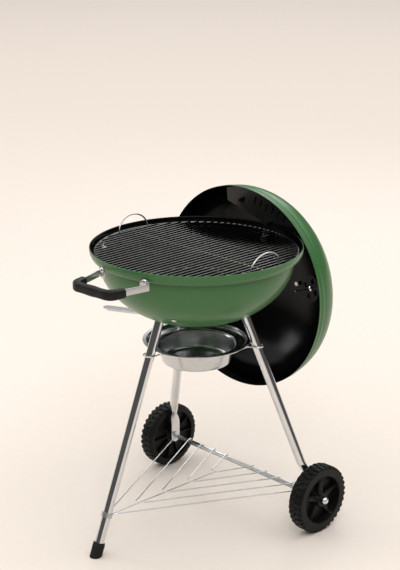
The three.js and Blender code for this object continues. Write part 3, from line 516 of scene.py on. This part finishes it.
def skirt(shrink):
    """From the dome's edge down the band to the rim, with two pressed beads."""
    line = evenly(rounded([[dome_radius - shrink, lid_band], [lid_rim - 3.4 - shrink, lid_band - 5],
                           [lid_rim - 2 - shrink, 7], [lid_rim - 0.9 - shrink * 0.6, 3.5],
                           [lid_rim - 0.9 - shrink * 0.6, 0]], 4), 60)
    bead = 1.3 * np.exp(-(((line[:, 1] - 18) / 1.6) ** 2)) - 0.9 * np.exp(-(((line[:, 1] - 9) / 1.5) ** 2))
    return line + np.stack([bead * 0.8, 0 * bead], 1)


lid_outside = on_lid(turned(np.vstack([dome(0), skirt(0)[1:]]), 192))
lid_inside = on_lid(turned(np.vstack([dome(sheet), skirt(sheet)[1:]]), 192))
everywhere = np.ones((lid_outside.shape[0] - 1, 192), bool)
lid = walled("enamelled_lid", lid_outside, lid_inside, everywhere, green_enamel, black_enamel,
             body="lid", stands_for=["lid"])

# %% [markdown]
# ## Grates
# A grate is a ring with rods laid across it and two or three cross wires welded under them. All
# the rods of one grate are made at once, as one array of short rings, and each end is domed.

# %% Rods
def part_of(points, wrap_rows=False):
    """A grid as loose points and faces, ready to be gathered with others."""
    rows, columns = points.shape[:2]
    return points.reshape(-1, 3), faces_of(rows, columns, wrap_rows, True), 0


def gathered(name, parts, finishes, **rest):
    """Several grids as one piece, each with the number of its finish."""
    starts = np.cumsum([0] + [len(points) for points, _, _ in parts])
    faces = np.vstack([quads + start for (_, quads, _), start in zip(parts, starts)])
    choice = np.concatenate([np.full(len(quads), which) for _, quads, which in parts])
    return mesh_piece(name, np.vstack([points for points, _, _ in parts]), faces, finishes, choice, **rest)


def bars(starts, ends, radius, choice=0, sides=10):
    """Round bars between pairs of points: rings of a circle square to each bar, smaller at its ends."""
    starts, ends = np.asarray(starts, float), np.asarray(ends, float)
    along = ends - starts
    length = np.linalg.norm(along, axis=1)
    along /= length[:, None]
    side = np.cross(along, [0.01, 0, 1])
    side /= np.linalg.norm(side, axis=1, keepdims=True)
    lift = np.cross(side, along)
    bend = 0.5 * radius
    zero = 0 * length
    place = np.stack([zero, zero, zero + bend, length - bend, length, length], 1)
    size = radius * np.array([0, 0.7, 1, 1, 0.7, 0])
    around = circle(1, sides)
    ring = around[:, 0][None, :, None] * side[:, None] + around[:, 1][None, :, None] * lift[:, None]
    points = (starts[:, None, None] + (place[:, :, None] * along[:, None])[:, :, None]
              + size[None, :, None, None] * ring[:, None])
    shift = np.arange(len(starts))[:, None, None] * 6 * sides
    return points.reshape(-1, 3), (faces_of(6, sides, False, True)[None] + shift).reshape(-1, 4), choice


def grate_parts(radius, top, rod, rim, rods, crosses, tinted=()):
    """Rods along Y over cross wires along X, inside a ring. Tinted cross wires take the second finish."""
    rim_line = radius - rim
    ring = np.array([rim_line, top - 2 * rod - 0.15]) + circle(rim, 12)
    parts = [part_of(turned(ring, 144), wrap_rows=True)]
    x = -rim_line + 2 * rim_line / (rods + 1) * np.arange(1, rods + 1)
    half = np.sqrt(rim_line**2 - x**2)
    z = top - rod + 0 * x
    parts.append(bars(np.stack([x, -half, z], 1), np.stack([x, half, z], 1), rod))
    for y in crosses:
        reach, z = np.sqrt(rim_line**2 - y**2), top - 3 * rod + 0.4
        parts.append(bars([[-reach, y, z]], [[reach, y, z]], rod * 0.95, int(y in tinted)))
    return [(on_kettle(points), quads, which) for points, quads, which in parts]


# %% Cooking grate and charcoal grate
cooking_top = rim_height - 11
cooking = gathered("cooking_grate_wires", grate_parts(275, cooking_top, 2.0, 3.2, 33, (-95, 0, 95), (0,)),
                   [grate_wire, straw_wire], body="cooking_grate", stands_for=["cooking_grate"])
charcoal_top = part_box("charcoal_grate")[1].z / mm
charcoal = gathered("charcoal_grate_wires", grate_parts(205, charcoal_top, 2.6, 3.8, 13, (-90, 90)),
                    [grate_wire], body="charcoal_grate", stands_for=["charcoal_grate"])

# %% [markdown]
# The two lifting loops are bent from one wire each. A loop is half a circle drawn out upwards that
# leans in a little at its feet, so it is a curve with a formula, and a circle is carried along it.

# %% Lifting loops
for name, side in (("right", 1), ("left", -1)):
    a = np.linspace(0, np.pi, 49)
    loop = np.stack([side * (253 + 6 * np.sin(a)), 52 * np.cos(a), cooking_top + 0.8 + 42 * np.sin(a)], 1)
    feet = np.array([[0, 0, -4.5]])
    loop = np.vstack([loop[:1] + feet, loop, loop[-1:] + feet])
    bent_wire = carried(loop, (1, 0, 0), circle(2.1), scale=rounded_ends(len(loop)))
    piece = skin(f"lifting_loop_{name}", on_kettle(bent_wire), loop_wire, body="cooking_grate",
                 stands_for=[f"grate_loop_{name}"])


# %% [markdown]
# ## Handles
# Both handles are a flat steel strap with a moulded grip round its middle. The strap and the grip
# follow the same bent line: the strap as a thin rectangle, the grip as a fat one with round
# corners that swells a little at both bends.

# %% Bent line of a handle
def handle_line(foot_at, base_half, grip_half, reach, start=0.0):
    """From one foot out to the grip and back, in a plane: (along, away). start skips part of each arm."""
    base, corner = np.array([base_half, foot_at]), np.array([grip_half, foot_at + reach])
    first = base + start * (corner - base)
    flip = np.array([-1, 1])
    return rounded([first, corner, corner * flip, first * flip], 22, 12)


def handle_pieces(name, place, foot_at, base_half, grip_half, reach, body, grip_node):
    """A strap and a grip, put in their plane by place."""
    strap_line = evenly(handle_line(foot_at, base_half, grip_half, reach), 90)
    flat = np.pad(strap_line, ((0, 0), (0, 1)))
    strap = place(carried(flat, (0, 0, 1), soft_box(3, 18, 1.2, 4)))
    grip_line = evenly(handle_line(foot_at, base_half, grip_half, reach, 0.62), 110)
    run = np.linspace(-1, 1, 110)
    swell = 0.93 + 0.07 * np.cos(np.pi * run * 1.6) ** 2
    swell[[0, -1]], swell[[1, -2]] = swell[0] * 0.8, swell[1] * 0.95
    flat = np.pad(grip_line, ((0, 0), (0, 1)))
    moulding = place(carried(flat, (0, 0, 1), soft_box(22, 27, 8, 7), scale=np.minimum(swell, 1)))
    bent = skin(f"{name}_strap", strap, zinc, body=body)
    held = skin(f"{name}_grip", moulding, grip_plastic, crease=50, body=body, stands_for=[grip_node])


# %% Bowl handle
handle_bearing, handle_z = -85.6, rim_height - 35
handle_away, handle_along = polar(1, handle_bearing), polar(1, handle_bearing + 90)
strap_face = rim_radius + 0.3 + 1.5


def on_bowl_handle(points):
    """(along, away, up) in the handle's plane, as metres in the grill's frame."""
    points = np.asarray(points, float)
    return on_kettle(points[..., :1] * handle_along + points[..., 1:2] * handle_away
                     + points[..., 2:] * np.array([0, 0, 1]) + np.array([0, 0, handle_z]))


handle_half = 89
handle_foot = np.sqrt(strap_face**2 - handle_half**2) + 2.5
handle_pieces("bowl_handle", on_bowl_handle, handle_foot, handle_half, 62, 112, "frame", "bowl_handle_grip")


# %% Ears and bolts
def badge(outline, thickness, edge=0.6):
    """A flat plate with soft edges: its outline shrinks to the middle on both faces."""
    outline = np.asarray(outline, float)
    middle = outline.mean(0)
    size = np.array([0, 0.6, 1 - edge / 8, 1, 1, 1 - edge / 8, 0.6, 0])
    height = np.array([0, 0, 0, edge, thickness - edge, thickness, thickness, thickness])
    flat = middle + size[:, None, None] * (outline - middle)
    return np.concatenate([flat, height[:, None, None] + 0 * flat[..., :1]], -1)


def round_face(radius, bearing, points):
    """(across, up, out) wrapped on a cylinder about the kettle's axis."""
    turn = bearing + np.degrees(points[..., 0] / radius)
    return polar(radius + points[..., 2], turn, points[..., 1])


def bolt_head(radius=7.5, height=4.0, sides=48, rows=22):
    """A domed head with a cross recess: the dome h (1 - (r/R)^2)^0.6, lowered inside the cross."""
    r = radius * np.sin(np.linspace(0, np.pi / 2, rows))[:, None]
    a = 2 * np.pi * np.arange(sides)[None] / sides
    x, y = r * np.cos(a), r * np.sin(a)
    z = height * np.clip(1 - (r / radius) ** 2, 0, 1) ** 0.6 + 0 * a
    narrow, wide = np.minimum(abs(x), abs(y)), np.maximum(abs(x), abs(y))
    z = np.where((narrow < 0.75) & (wide < 3.4), z - 1.7, z)
    top = np.stack([x, y, z], -1)
    bottom = top[::-1] * [1, 1, 0] - [0, 0, 0.2]
    return np.concatenate([top, bottom])


def facing(points, seat, direction):
    """Moves points made about +Z so that +Z runs along a direction from a seat."""
    z = np.asarray(direction, float) / np.linalg.norm(direction)
    x = np.cross([0.1, 0.2, 0.97], z)
    x /= np.linalg.norm(x)
    return points @ np.stack([x, np.cross(z, x), z]) + seat


ear_turn = np.degrees(np.arcsin((handle_half - 27 / 2) / strap_face))
parts = []
for side in (1, -1):
    ear = badge(soft_box(27, 29, 10, 6) + [0, handle_z + 5.5], 3)
    ear[..., 2] -= 1.5
    parts.append(part_of(on_kettle(round_face(strap_face, handle_bearing + side * ear_turn, ear))))
ears = gathered("bowl_handle_ears", parts, [zinc], crease=50, body="frame", stands_for=["bowl_handle_strap"])
for side, name in ((1, "right"), (-1, "left")):
    out = polar(1, handle_bearing + side * ear_turn)
    seat = out * (strap_face + 1.6) + [0, 0, handle_z + 12.5]
    head = skin(f"bowl_handle_bolt_head_{name}", on_kettle(facing(bolt_head(), seat, out)), chrome,
                body="frame", stands_for=[f"bowl_handle_bolt_{name}"])


# %% Lid handle
def on_lid_handle(points):
    """(along, away, up) of the handle's plane, as the lid's own x, z and -y."""
    points = np.asarray(points, float)
    return on_lid(np.stack([points[..., 0], -points[..., 2], points[..., 1]], -1))


def lid_outside_at(x):
    """The dome's height above the rim at a distance from its axis: band + D sqrt(1 - (x/R)^2)."""
    return lid_band + dome_depth * np.sqrt(1 - (x / dome_radius) ** 2)


lid_handle_half = 82
lid_handle_foot = lid_outside_at(lid_handle_half) + 2.2
handle_pieces("lid_handle", on_lid_handle, lid_handle_foot, lid_handle_half, 58, 62, "lid", "lid_handle_grip")
parts = []
for side in (1, -1):
    ear = badge(soft_box(30, 16, 7, 6) + [side * 69, 0], 3)
    ear[..., 2] += lid_outside_at(ear[..., 0]) + 0.9
    ear[..., 1] *= -1
    parts.append(part_of(on_lid(ear)))
ears = gathered("lid_handle_ears", parts, [zinc], crease=50, body="lid", stands_for=["lid_handle_strap"])

# %% [markdown]
# ## Legs
# A leg is a chromed tube that leans in towards the kettle's axis and ends against the bowl. Its
# upper edge is where each line along the tube meets the bowl's ellipsoid, which is the smaller
# root of a quadratic, so the tube fits the bowl all round. The two rear tubes are pressed flat at
# the bottom for the axle, so their section changes from an ellipse to a thin plate.

# %% Lean and upper edge of a leg
tube_radius, lean, floor_radius = 12.5, np.radians(21.4), 372.0


def on_leg(bearing, z):
    """The middle of a leg at a height."""
    return polar(floor_radius - z * np.tan(lean), bearing, z)


def up_to_bowl(points, direction):
    """Each point moved along a direction to the bowl's outside, an ellipsoid about the kettle's axis."""
    size = np.array([body_radius, body_radius, body_depth])
    p, d = (points - [0, 0, body_top]) / size, direction / size
    a, b, c = (d * d).sum(), 2 * (p * d).sum(-1), (p * p).sum(-1) - 1
    run = (-b - np.sqrt(np.maximum(b * b - 4 * a * c, 0))) / (2 * a)
    return points + (run[..., None] - 0.3) * direction


def lid_on(grid):
    """The grid with both ends closed by a row at each end's middle."""
    low, high = grid[:1].mean(1, keepdims=True), grid[-1:].mean(1, keepdims=True)
    return np.concatenate([low + 0 * grid[:1], grid, high + 0 * grid[-1:]])


# %% Front leg
axis_up = on_leg(-90, 100) - on_leg(-90, 0)
axis_up /= np.linalg.norm(axis_up)
foot_end = on_leg(-90, 6.3)
lower_ring = facing(np.pad(circle(tube_radius, 64), ((0, 0), (0, 1))), foot_end, axis_up)
leg_rows = lid_on(np.stack([lower_ring, up_to_bowl(lower_ring, axis_up)]))
front_leg = skin("front_leg_tube", on_kettle(leg_rows), chrome, body="frame", stands_for=["front_leg"])

# %% Foot
profile = evenly(rounded([
    [0, -14], [16.0, -14], [16.3, 26], [15.2, 32], [12.9, 32], [12.9, 0.4], [0, 0.4]], 5), 60)
profile[:, 0] += 0.35 * np.exp(-(((profile[:, 1] - 22) / 2.5) ** 2)) * (profile[:, 0] > 15)
foot_points = on_kettle(facing(turned(profile, 64), on_leg(-90, 6), axis_up))
foot_points[..., 2] = np.maximum(foot_points[..., 2], 0)
foot = skin("rubber_foot", foot_points, foot_rubber, crease=50, body="frame", stands_for=["foot_cap"])

# %% Rear legs
axle_low, axle_high = (np.array(corner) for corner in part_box("axle"))
axle_middle = (axle_low + axle_high) / 2
axle_y, axle_z = (axle_middle - kettle_axis)[1] / mm, axle_middle[2] / mm
plate_top = axle_z + 58
plate_x = on_leg(30, plate_top)[0]


def rear_leg_rows(bearing, side):
    """Level sections from the axle's end up: a thin plate turning into the leaning tube's ellipse."""
    a = 2 * np.pi * np.arange(64) / 64
    round_end = axle_z - 16 * np.cos(np.linspace(0, np.pi / 2, 9))
    z = np.concatenate([round_end, np.linspace(axle_z, plate_top + 46, 40)[1:]])
    turn = np.clip((z - plate_top + 18) / 60, 0, 1)
    turn = (turn * turn * (3 - 2 * turn))[:, None, None]
    half_wide = 16 * np.sqrt(np.clip(1 - (np.minimum(z - axle_z, 0) / 16) ** 2, 0.02, 1))
    plate = np.stack([2.5 * np.sign(np.cos(a)) * abs(np.cos(a)) ** 0.35 + 0 * z[:, None],
                      np.sin(a) * half_wide[:, None]], -1)
    across = np.cos(a - np.radians(bearing)) * np.cos(lean)
    reach = tube_radius / np.sqrt(across**2 + np.sin(a - np.radians(bearing)) ** 2)
    tube = np.stack([reach * np.cos(a), reach * np.sin(a)], -1)
    straight = np.stack([side * plate_x + 0 * z, axle_y + 0 * z], -1)
    middle = (1 - turn) * straight[:, None] + turn * on_leg(bearing, z)[:, None, :2]
    level = middle + (1 - turn) * plate + turn * tube
    return np.concatenate([level, z[:, None, None] + 0 * level[..., :1]], -1)


for name, bearing, side in (("right", 30, 1), ("left", 150, -1)):
    rows = rear_leg_rows(bearing, side)
    upwards = on_leg(bearing, 100) - on_leg(bearing, 0)
    upwards /= np.linalg.norm(upwards)
    leg_rows = lid_on(np.concatenate([rows, up_to_bowl(rows[-1:], upwards)]))
    leg = skin(f"{name}_rear_leg", on_kettle(leg_rows), chrome, body="frame",
               stands_for=[f"{name}_wheel_leg"])


# %% [markdown]
# ## Wheels
# A moulded wheel is nearly all relief on a turned shape, so it is one closed grid round the axle.
# Each row has a radius and a place across the width, and both are then moved by functions of the
# angle: blocks of tread on the outside, a five-armed star in the outer face, ribs in the inner one.

# %% Wheel relief
wheel_radius, wheel_width = 95, 45
wheel_face = wheel_width - 2.2


def step(x, soft):
    """0 below zero, 1 above it, with a smooth rise over a width."""
    t = np.clip(x / soft + 0.5, 0, 1)
    return t * t * (3 - 2 * t)


def wheel_grid(columns=360):
    """Rows from the inner hub over the tread to the outer hub, as (radius, across, angle) arrays."""
    a = 2 * np.pi * np.arange(columns)[None] / columns
    inner_r = np.r_[np.linspace(5.5, 24, 8), np.linspace(25, 72, 26), np.linspace(73, 90, 12)][:, None]
    outer_r = inner_r[::-1]
    across = np.linspace(3, 42, 28)[:, None]

    def off_spoke(count, turn=0.0):
        """Angle from the nearest of some spokes."""
        return np.abs((a - turn + np.pi / count) % (2 * np.pi / count) - np.pi / count)

    rib = step(2.2 - inner_r * np.sin(off_spoke(10)), 1.2) * (inner_r > 23)
    hollow = step(inner_r - 24.5, 2) * step(73.5 - inner_r, 2)
    inner_x = 12 * hollow * (1 - 0.9 * rib) + 1.2 * step(inner_r - 86, 6) + 0 * a

    arm = outer_r * np.sin(np.minimum(off_spoke(5, np.pi / 2), np.pi / 2))
    width = 11 - 6.5 * np.clip((outer_r - 16) / 46, 0, 1)
    star = step(width - arm, 2.0)
    ridge = np.clip(1 - arm / width, 0, 1) * 2.5 * star
    recess = step(64.5 - outer_r, 1.6)
    hub = step(21 - outer_r, 1.6)
    lip = 1.6 * np.exp(-(((outer_r - 66.5) / 1.3) ** 2))
    band = 1.3 * step(outer_r - 69, 1.5) * step(87.5 - outer_r, 1.5)
    sunk = wheel_face - 20 + 11 * star + ridge
    outer_x = np.where(recess > 0, wheel_face * (1 - recess) + sunk * recess, wheel_face) + (lip + band)
    hub_face = wheel_width - 1.0 - 3.0 * step(8 - outer_r, 2)
    outer_x = outer_x * (1 - hub) + hub_face * hub - 1.6 * step(outer_r - 88.5, 3)

    blocks = 34
    off_middle = across - wheel_width / 2
    half = np.where(off_middle < 0, 0.0, np.pi / blocks)
    wave = np.cos(blocks * (a + half) + 0.05 * off_middle)
    lug = step(wave + 0.25, 0.5)
    centre = step(1.6 - abs(off_middle), 1.2)
    shoulder = 2.6 * step(6.5 - np.minimum(across, wheel_width - across), 6)
    tread = 91.0 + 4.0 * np.maximum(lug, 0.25 * centre) - shoulder * (1 - 0.4 * lug)
    r = np.concatenate([inner_r + 0 * a, np.minimum(tread, wheel_radius), outer_r + 0 * a])
    x = np.concatenate([inner_x, across + 0 * a, outer_x])
    return r, x, a + 0 * r


# %% Wheels on the axle
for name, side in (("right", 1), ("left", -1)):
    low, high = (np.array(corner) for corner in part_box(f"{name}_wheel"))
    inner_face = low[0] if side > 0 else high[0]
    r, x, a = wheel_grid()
    y_z = np.stack([r * np.cos(a), r * np.sin(a)], -1) * mm + [(low[1] + high[1]) / 2, (low[2] + high[2]) / 2]
    points = np.concatenate([(inner_face + side * x * mm)[..., None], y_z], -1)
    wheel = skin(f"{name}_moulded_wheel", points, wheel_plastic, wrap_rows=True, crease=40,
                 body=f"{name}_wheel", stands_for=[f"{name}_wheel"])

# %% Hub nuts, bushes and axle
dome_nut = evenly(rounded([
    [0, 1], [5.3, 1], [5.3, 0.4], [11, 0.4], [11, 4.5], [9.6, 9], [6.5, 12.6], [0, 14.4]], 3), 60)
bush_ring = evenly(rounded([[5.4, 0.1], [10, 0.1], [10, 5.9], [5.4, 5.9], [5.4, 0.1]], 0.8), 40)
for name, side in (("right", 1), ("left", -1)):
    for node, made, profile, finish, wrap in (("hub_nut", "domed_nut", dome_nut, chrome, False),
                                              ("wheel_bush", "steel_bush", bush_ring[:-1], zinc, True)):
        low, high = (np.array(corner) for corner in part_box(f"{name}_{node}"))
        seat = np.array([low[0] if side > 0 else high[0], axle_middle[1], axle_middle[2]])
        points = facing(turned(profile, 64) * mm, seat, (side, 0, 0))
        piece = skin(f"{name}_{made}", points, finish, wrap_rows=wrap, body="frame",
                     stands_for=[f"{name}_{node}"])
axle_length = (axle_high - axle_low)[0] / mm
shaft = turned([[0, 0], [4.4, 0], [5, 1], [5, axle_length - 1], [4.4, axle_length], [0, axle_length]], 48)
axle = skin("steel_axle", facing(shaft * mm, [axle_low[0], axle_middle[1], axle_middle[2]], (1, 0, 0)), zinc,
            body="frame", stands_for=["axle"])


# %% [markdown]
# ## Bottom rack
# The rack is a rod behind the axle plates with five V-shaped wires hooked over it, welded along a
# spine that runs forward to the front leg. Each V has a short kink beside the spine, where the
# wire was bent round a pin. The wires are bent lines with a circle carried along them.

# %% Rack wires
rack_low, rack_high = (np.array(corner) - kettle_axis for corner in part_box("bottom_rack"))
rod_radius, rib_radius = 2.8, 1.8
rod_z, rod_half = rack_low[2] / mm + rod_radius * 0.7, rack_high[0] / mm
front_y, rise, ribs = rack_low[1] / mm + 1.0, 4.0, 5


def spine_at(i):
    """The apex of a V: equal steps from the back rod to the front leg, rising a little."""
    return np.array([0, axle_y + (front_y - axle_y) * i / ribs, rod_z + rise * i / ribs])


def rack_wire(line, radius, count):
    """A bent line as a grid."""
    line = evenly(rounded(line, 4, 4), count)
    return part_of(carried(line, (0, 0, 1), circle(radius, 12), scale=rounded_ends(count)))


parts = [bars([[-rod_half, axle_y, rod_z]], [[rod_half, axle_y, rod_z]], rod_radius, sides=14)]
for i in range(1, ribs + 1):
    tip, x = spine_at(i), (rod_half - 3) * i / ribs
    over = rod_z + 4.4
    hook = [[x, axle_y + 6.5, rod_z + 0.5], [x, axle_y + 5.6, over], [x * 0.985, axle_y - 7, over - 1]]
    hook_left = [[-px, py, pz] for px, py, pz in hook]
    kink = [[kx, tip[1] + ky, tip[2]] for kx, ky in ((-16, 9), (-15, 1), (0, -5), (10, 3))]
    parts.append(rack_wire(hook_left + kink + hook[::-1], rib_radius, 320))
spine = [spine_at(1) + [0, 3, -2.5], spine_at(ribs) + [0, 1, -2.5]]
parts.append(rack_wire(spine, rib_radius, 40))
rack = gathered("rack_wires", [(on_kettle(points), quads, which) for points, quads, which in parts], [chrome],
                body="frame", stands_for=["bottom_rack"])


# %% [markdown]
# ## Ash pan and its wire
# The pan is spun from bright aluminium: a turned profile with a flat rim, a shallow trough and a
# deep middle. It rests on one wire that runs round under its rim and loops round each leg, so the
# wire is a smooth closed curve through a few points with a circle carried along it.

# %% Ash pan
pan_low, pan_high = (np.array(corner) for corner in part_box("ash_pan"))
pan_rim, pan_top, pan_floor = (pan_high - pan_low)[0] / 2 / mm, pan_high[2] / mm, pan_low[2] / mm
pan_wall, pan_lip = 1.4, 2
pan_outside = np.array([
    [0, pan_floor], [pan_rim - 63.5, pan_floor],
    [pan_rim - 53.5, pan_floor + 4], [pan_rim - 41.5, pan_top - 14],
    [pan_rim - 15, pan_top - 11], [pan_rim - 9, pan_top - pan_lip], [pan_rim - 0.6, pan_top - pan_lip]])
pan_inside = pan_outside[:-1] + [-0.5, pan_wall]
pan_inside[0, 0] = 0
edge = [[pan_rim, pan_top - pan_wall], [pan_rim - 0.6, pan_top]]
profile = np.vstack([evenly(rounded(pan_outside, 6), 90), edge, evenly(rounded(pan_inside[::-1], 6), 90)])
profile[:, 1] = np.clip(profile[:, 1], pan_floor, pan_top)
pan = skin("spun_ash_pan", on_kettle(turned(profile, 144)), pan_metal, crease=50, body="ash_pan",
           stands_for=["ash_pan"])


# %% Wire under the pan
def smooth_loop(points, steps=10):
    """A closed Catmull-Rom curve: each span is a cubic whose ends take half the way between neighbours."""
    p = [np.roll(np.asarray(points, float), k, 0)[:, None] for k in (1, 0, -1, -2)]
    t = (np.arange(steps) / steps)[None, :, None]
    curve = (p[1] + 0.5 * t * (p[2] - p[0]) + t**2 * (p[0] - 2.5 * p[1] + 2 * p[2] - 0.5 * p[3])
             + t**3 * 0.5 * (3 * p[1] - p[0] - 3 * p[2] + p[3]))
    return curve.reshape(-1, 3)


wire_radius = 2.1
wire_z = pan_top - pan_lip - wire_radius - 0.3
ring_radius = pan_rim - 5.5
leg_away = floor_radius - wire_z * np.tan(lean)
beside = tube_radius + wire_radius + 2
beyond = tube_radius / np.cos(lean) + wire_radius + 1.6
half_loop = ((ring_radius + 7, 1), (leg_away - 4, 1), (leg_away + beyond * 0.72, 0.78))
round_leg = [(out, -sideways) for out, sideways in half_loop] + [(leg_away + beyond + 1, 0), *half_loop[::-1]]
points = []
for bearing in (-90, 30, 150):
    away, along = polar(1, bearing), polar(1, bearing + 90)
    points.append(polar(ring_radius, bearing - 14))
    for out, sideways in round_leg:
        points.append(out * away + sideways * beside * along)
    points.extend(polar(ring_radius, bearing + np.arange(14, 106, 18.4)))
wire_line = smooth_loop(np.array(points) + [0, 0, wire_z])
wire_points = carried(wire_line, (0, 0, 1), circle(wire_radius, 16), closed=True)
wire = skin("ash_pan_wire", on_kettle(wire_points), chrome, wrap_rows=True, body="frame",
            stands_for=["ash_pan_wire_ring"])

# %% Carried-over pieces
plain_finishes = {
    "steel": zinc, "chrome": chrome, "black_enamel": black_enamel, "green_enamel": green_enamel,
    "black_plastic": grip_plastic, "rubber": foot_rubber, "grate_steel": grate_wire,
}
special_finishes = {"vent_damper": dark_enamel, "lid_hook_plate": plate_enamel, "sweep_lever": pan_metal}
for entry in frame["record"]["subparts"]:
    node = frame["nodes"][entry["node"]]
    node.data.materials.clear()
    finish = special_finishes.get(entry["node"], plain_finishes[entry["material_slot"]])
    node.data.materials.append(finish)
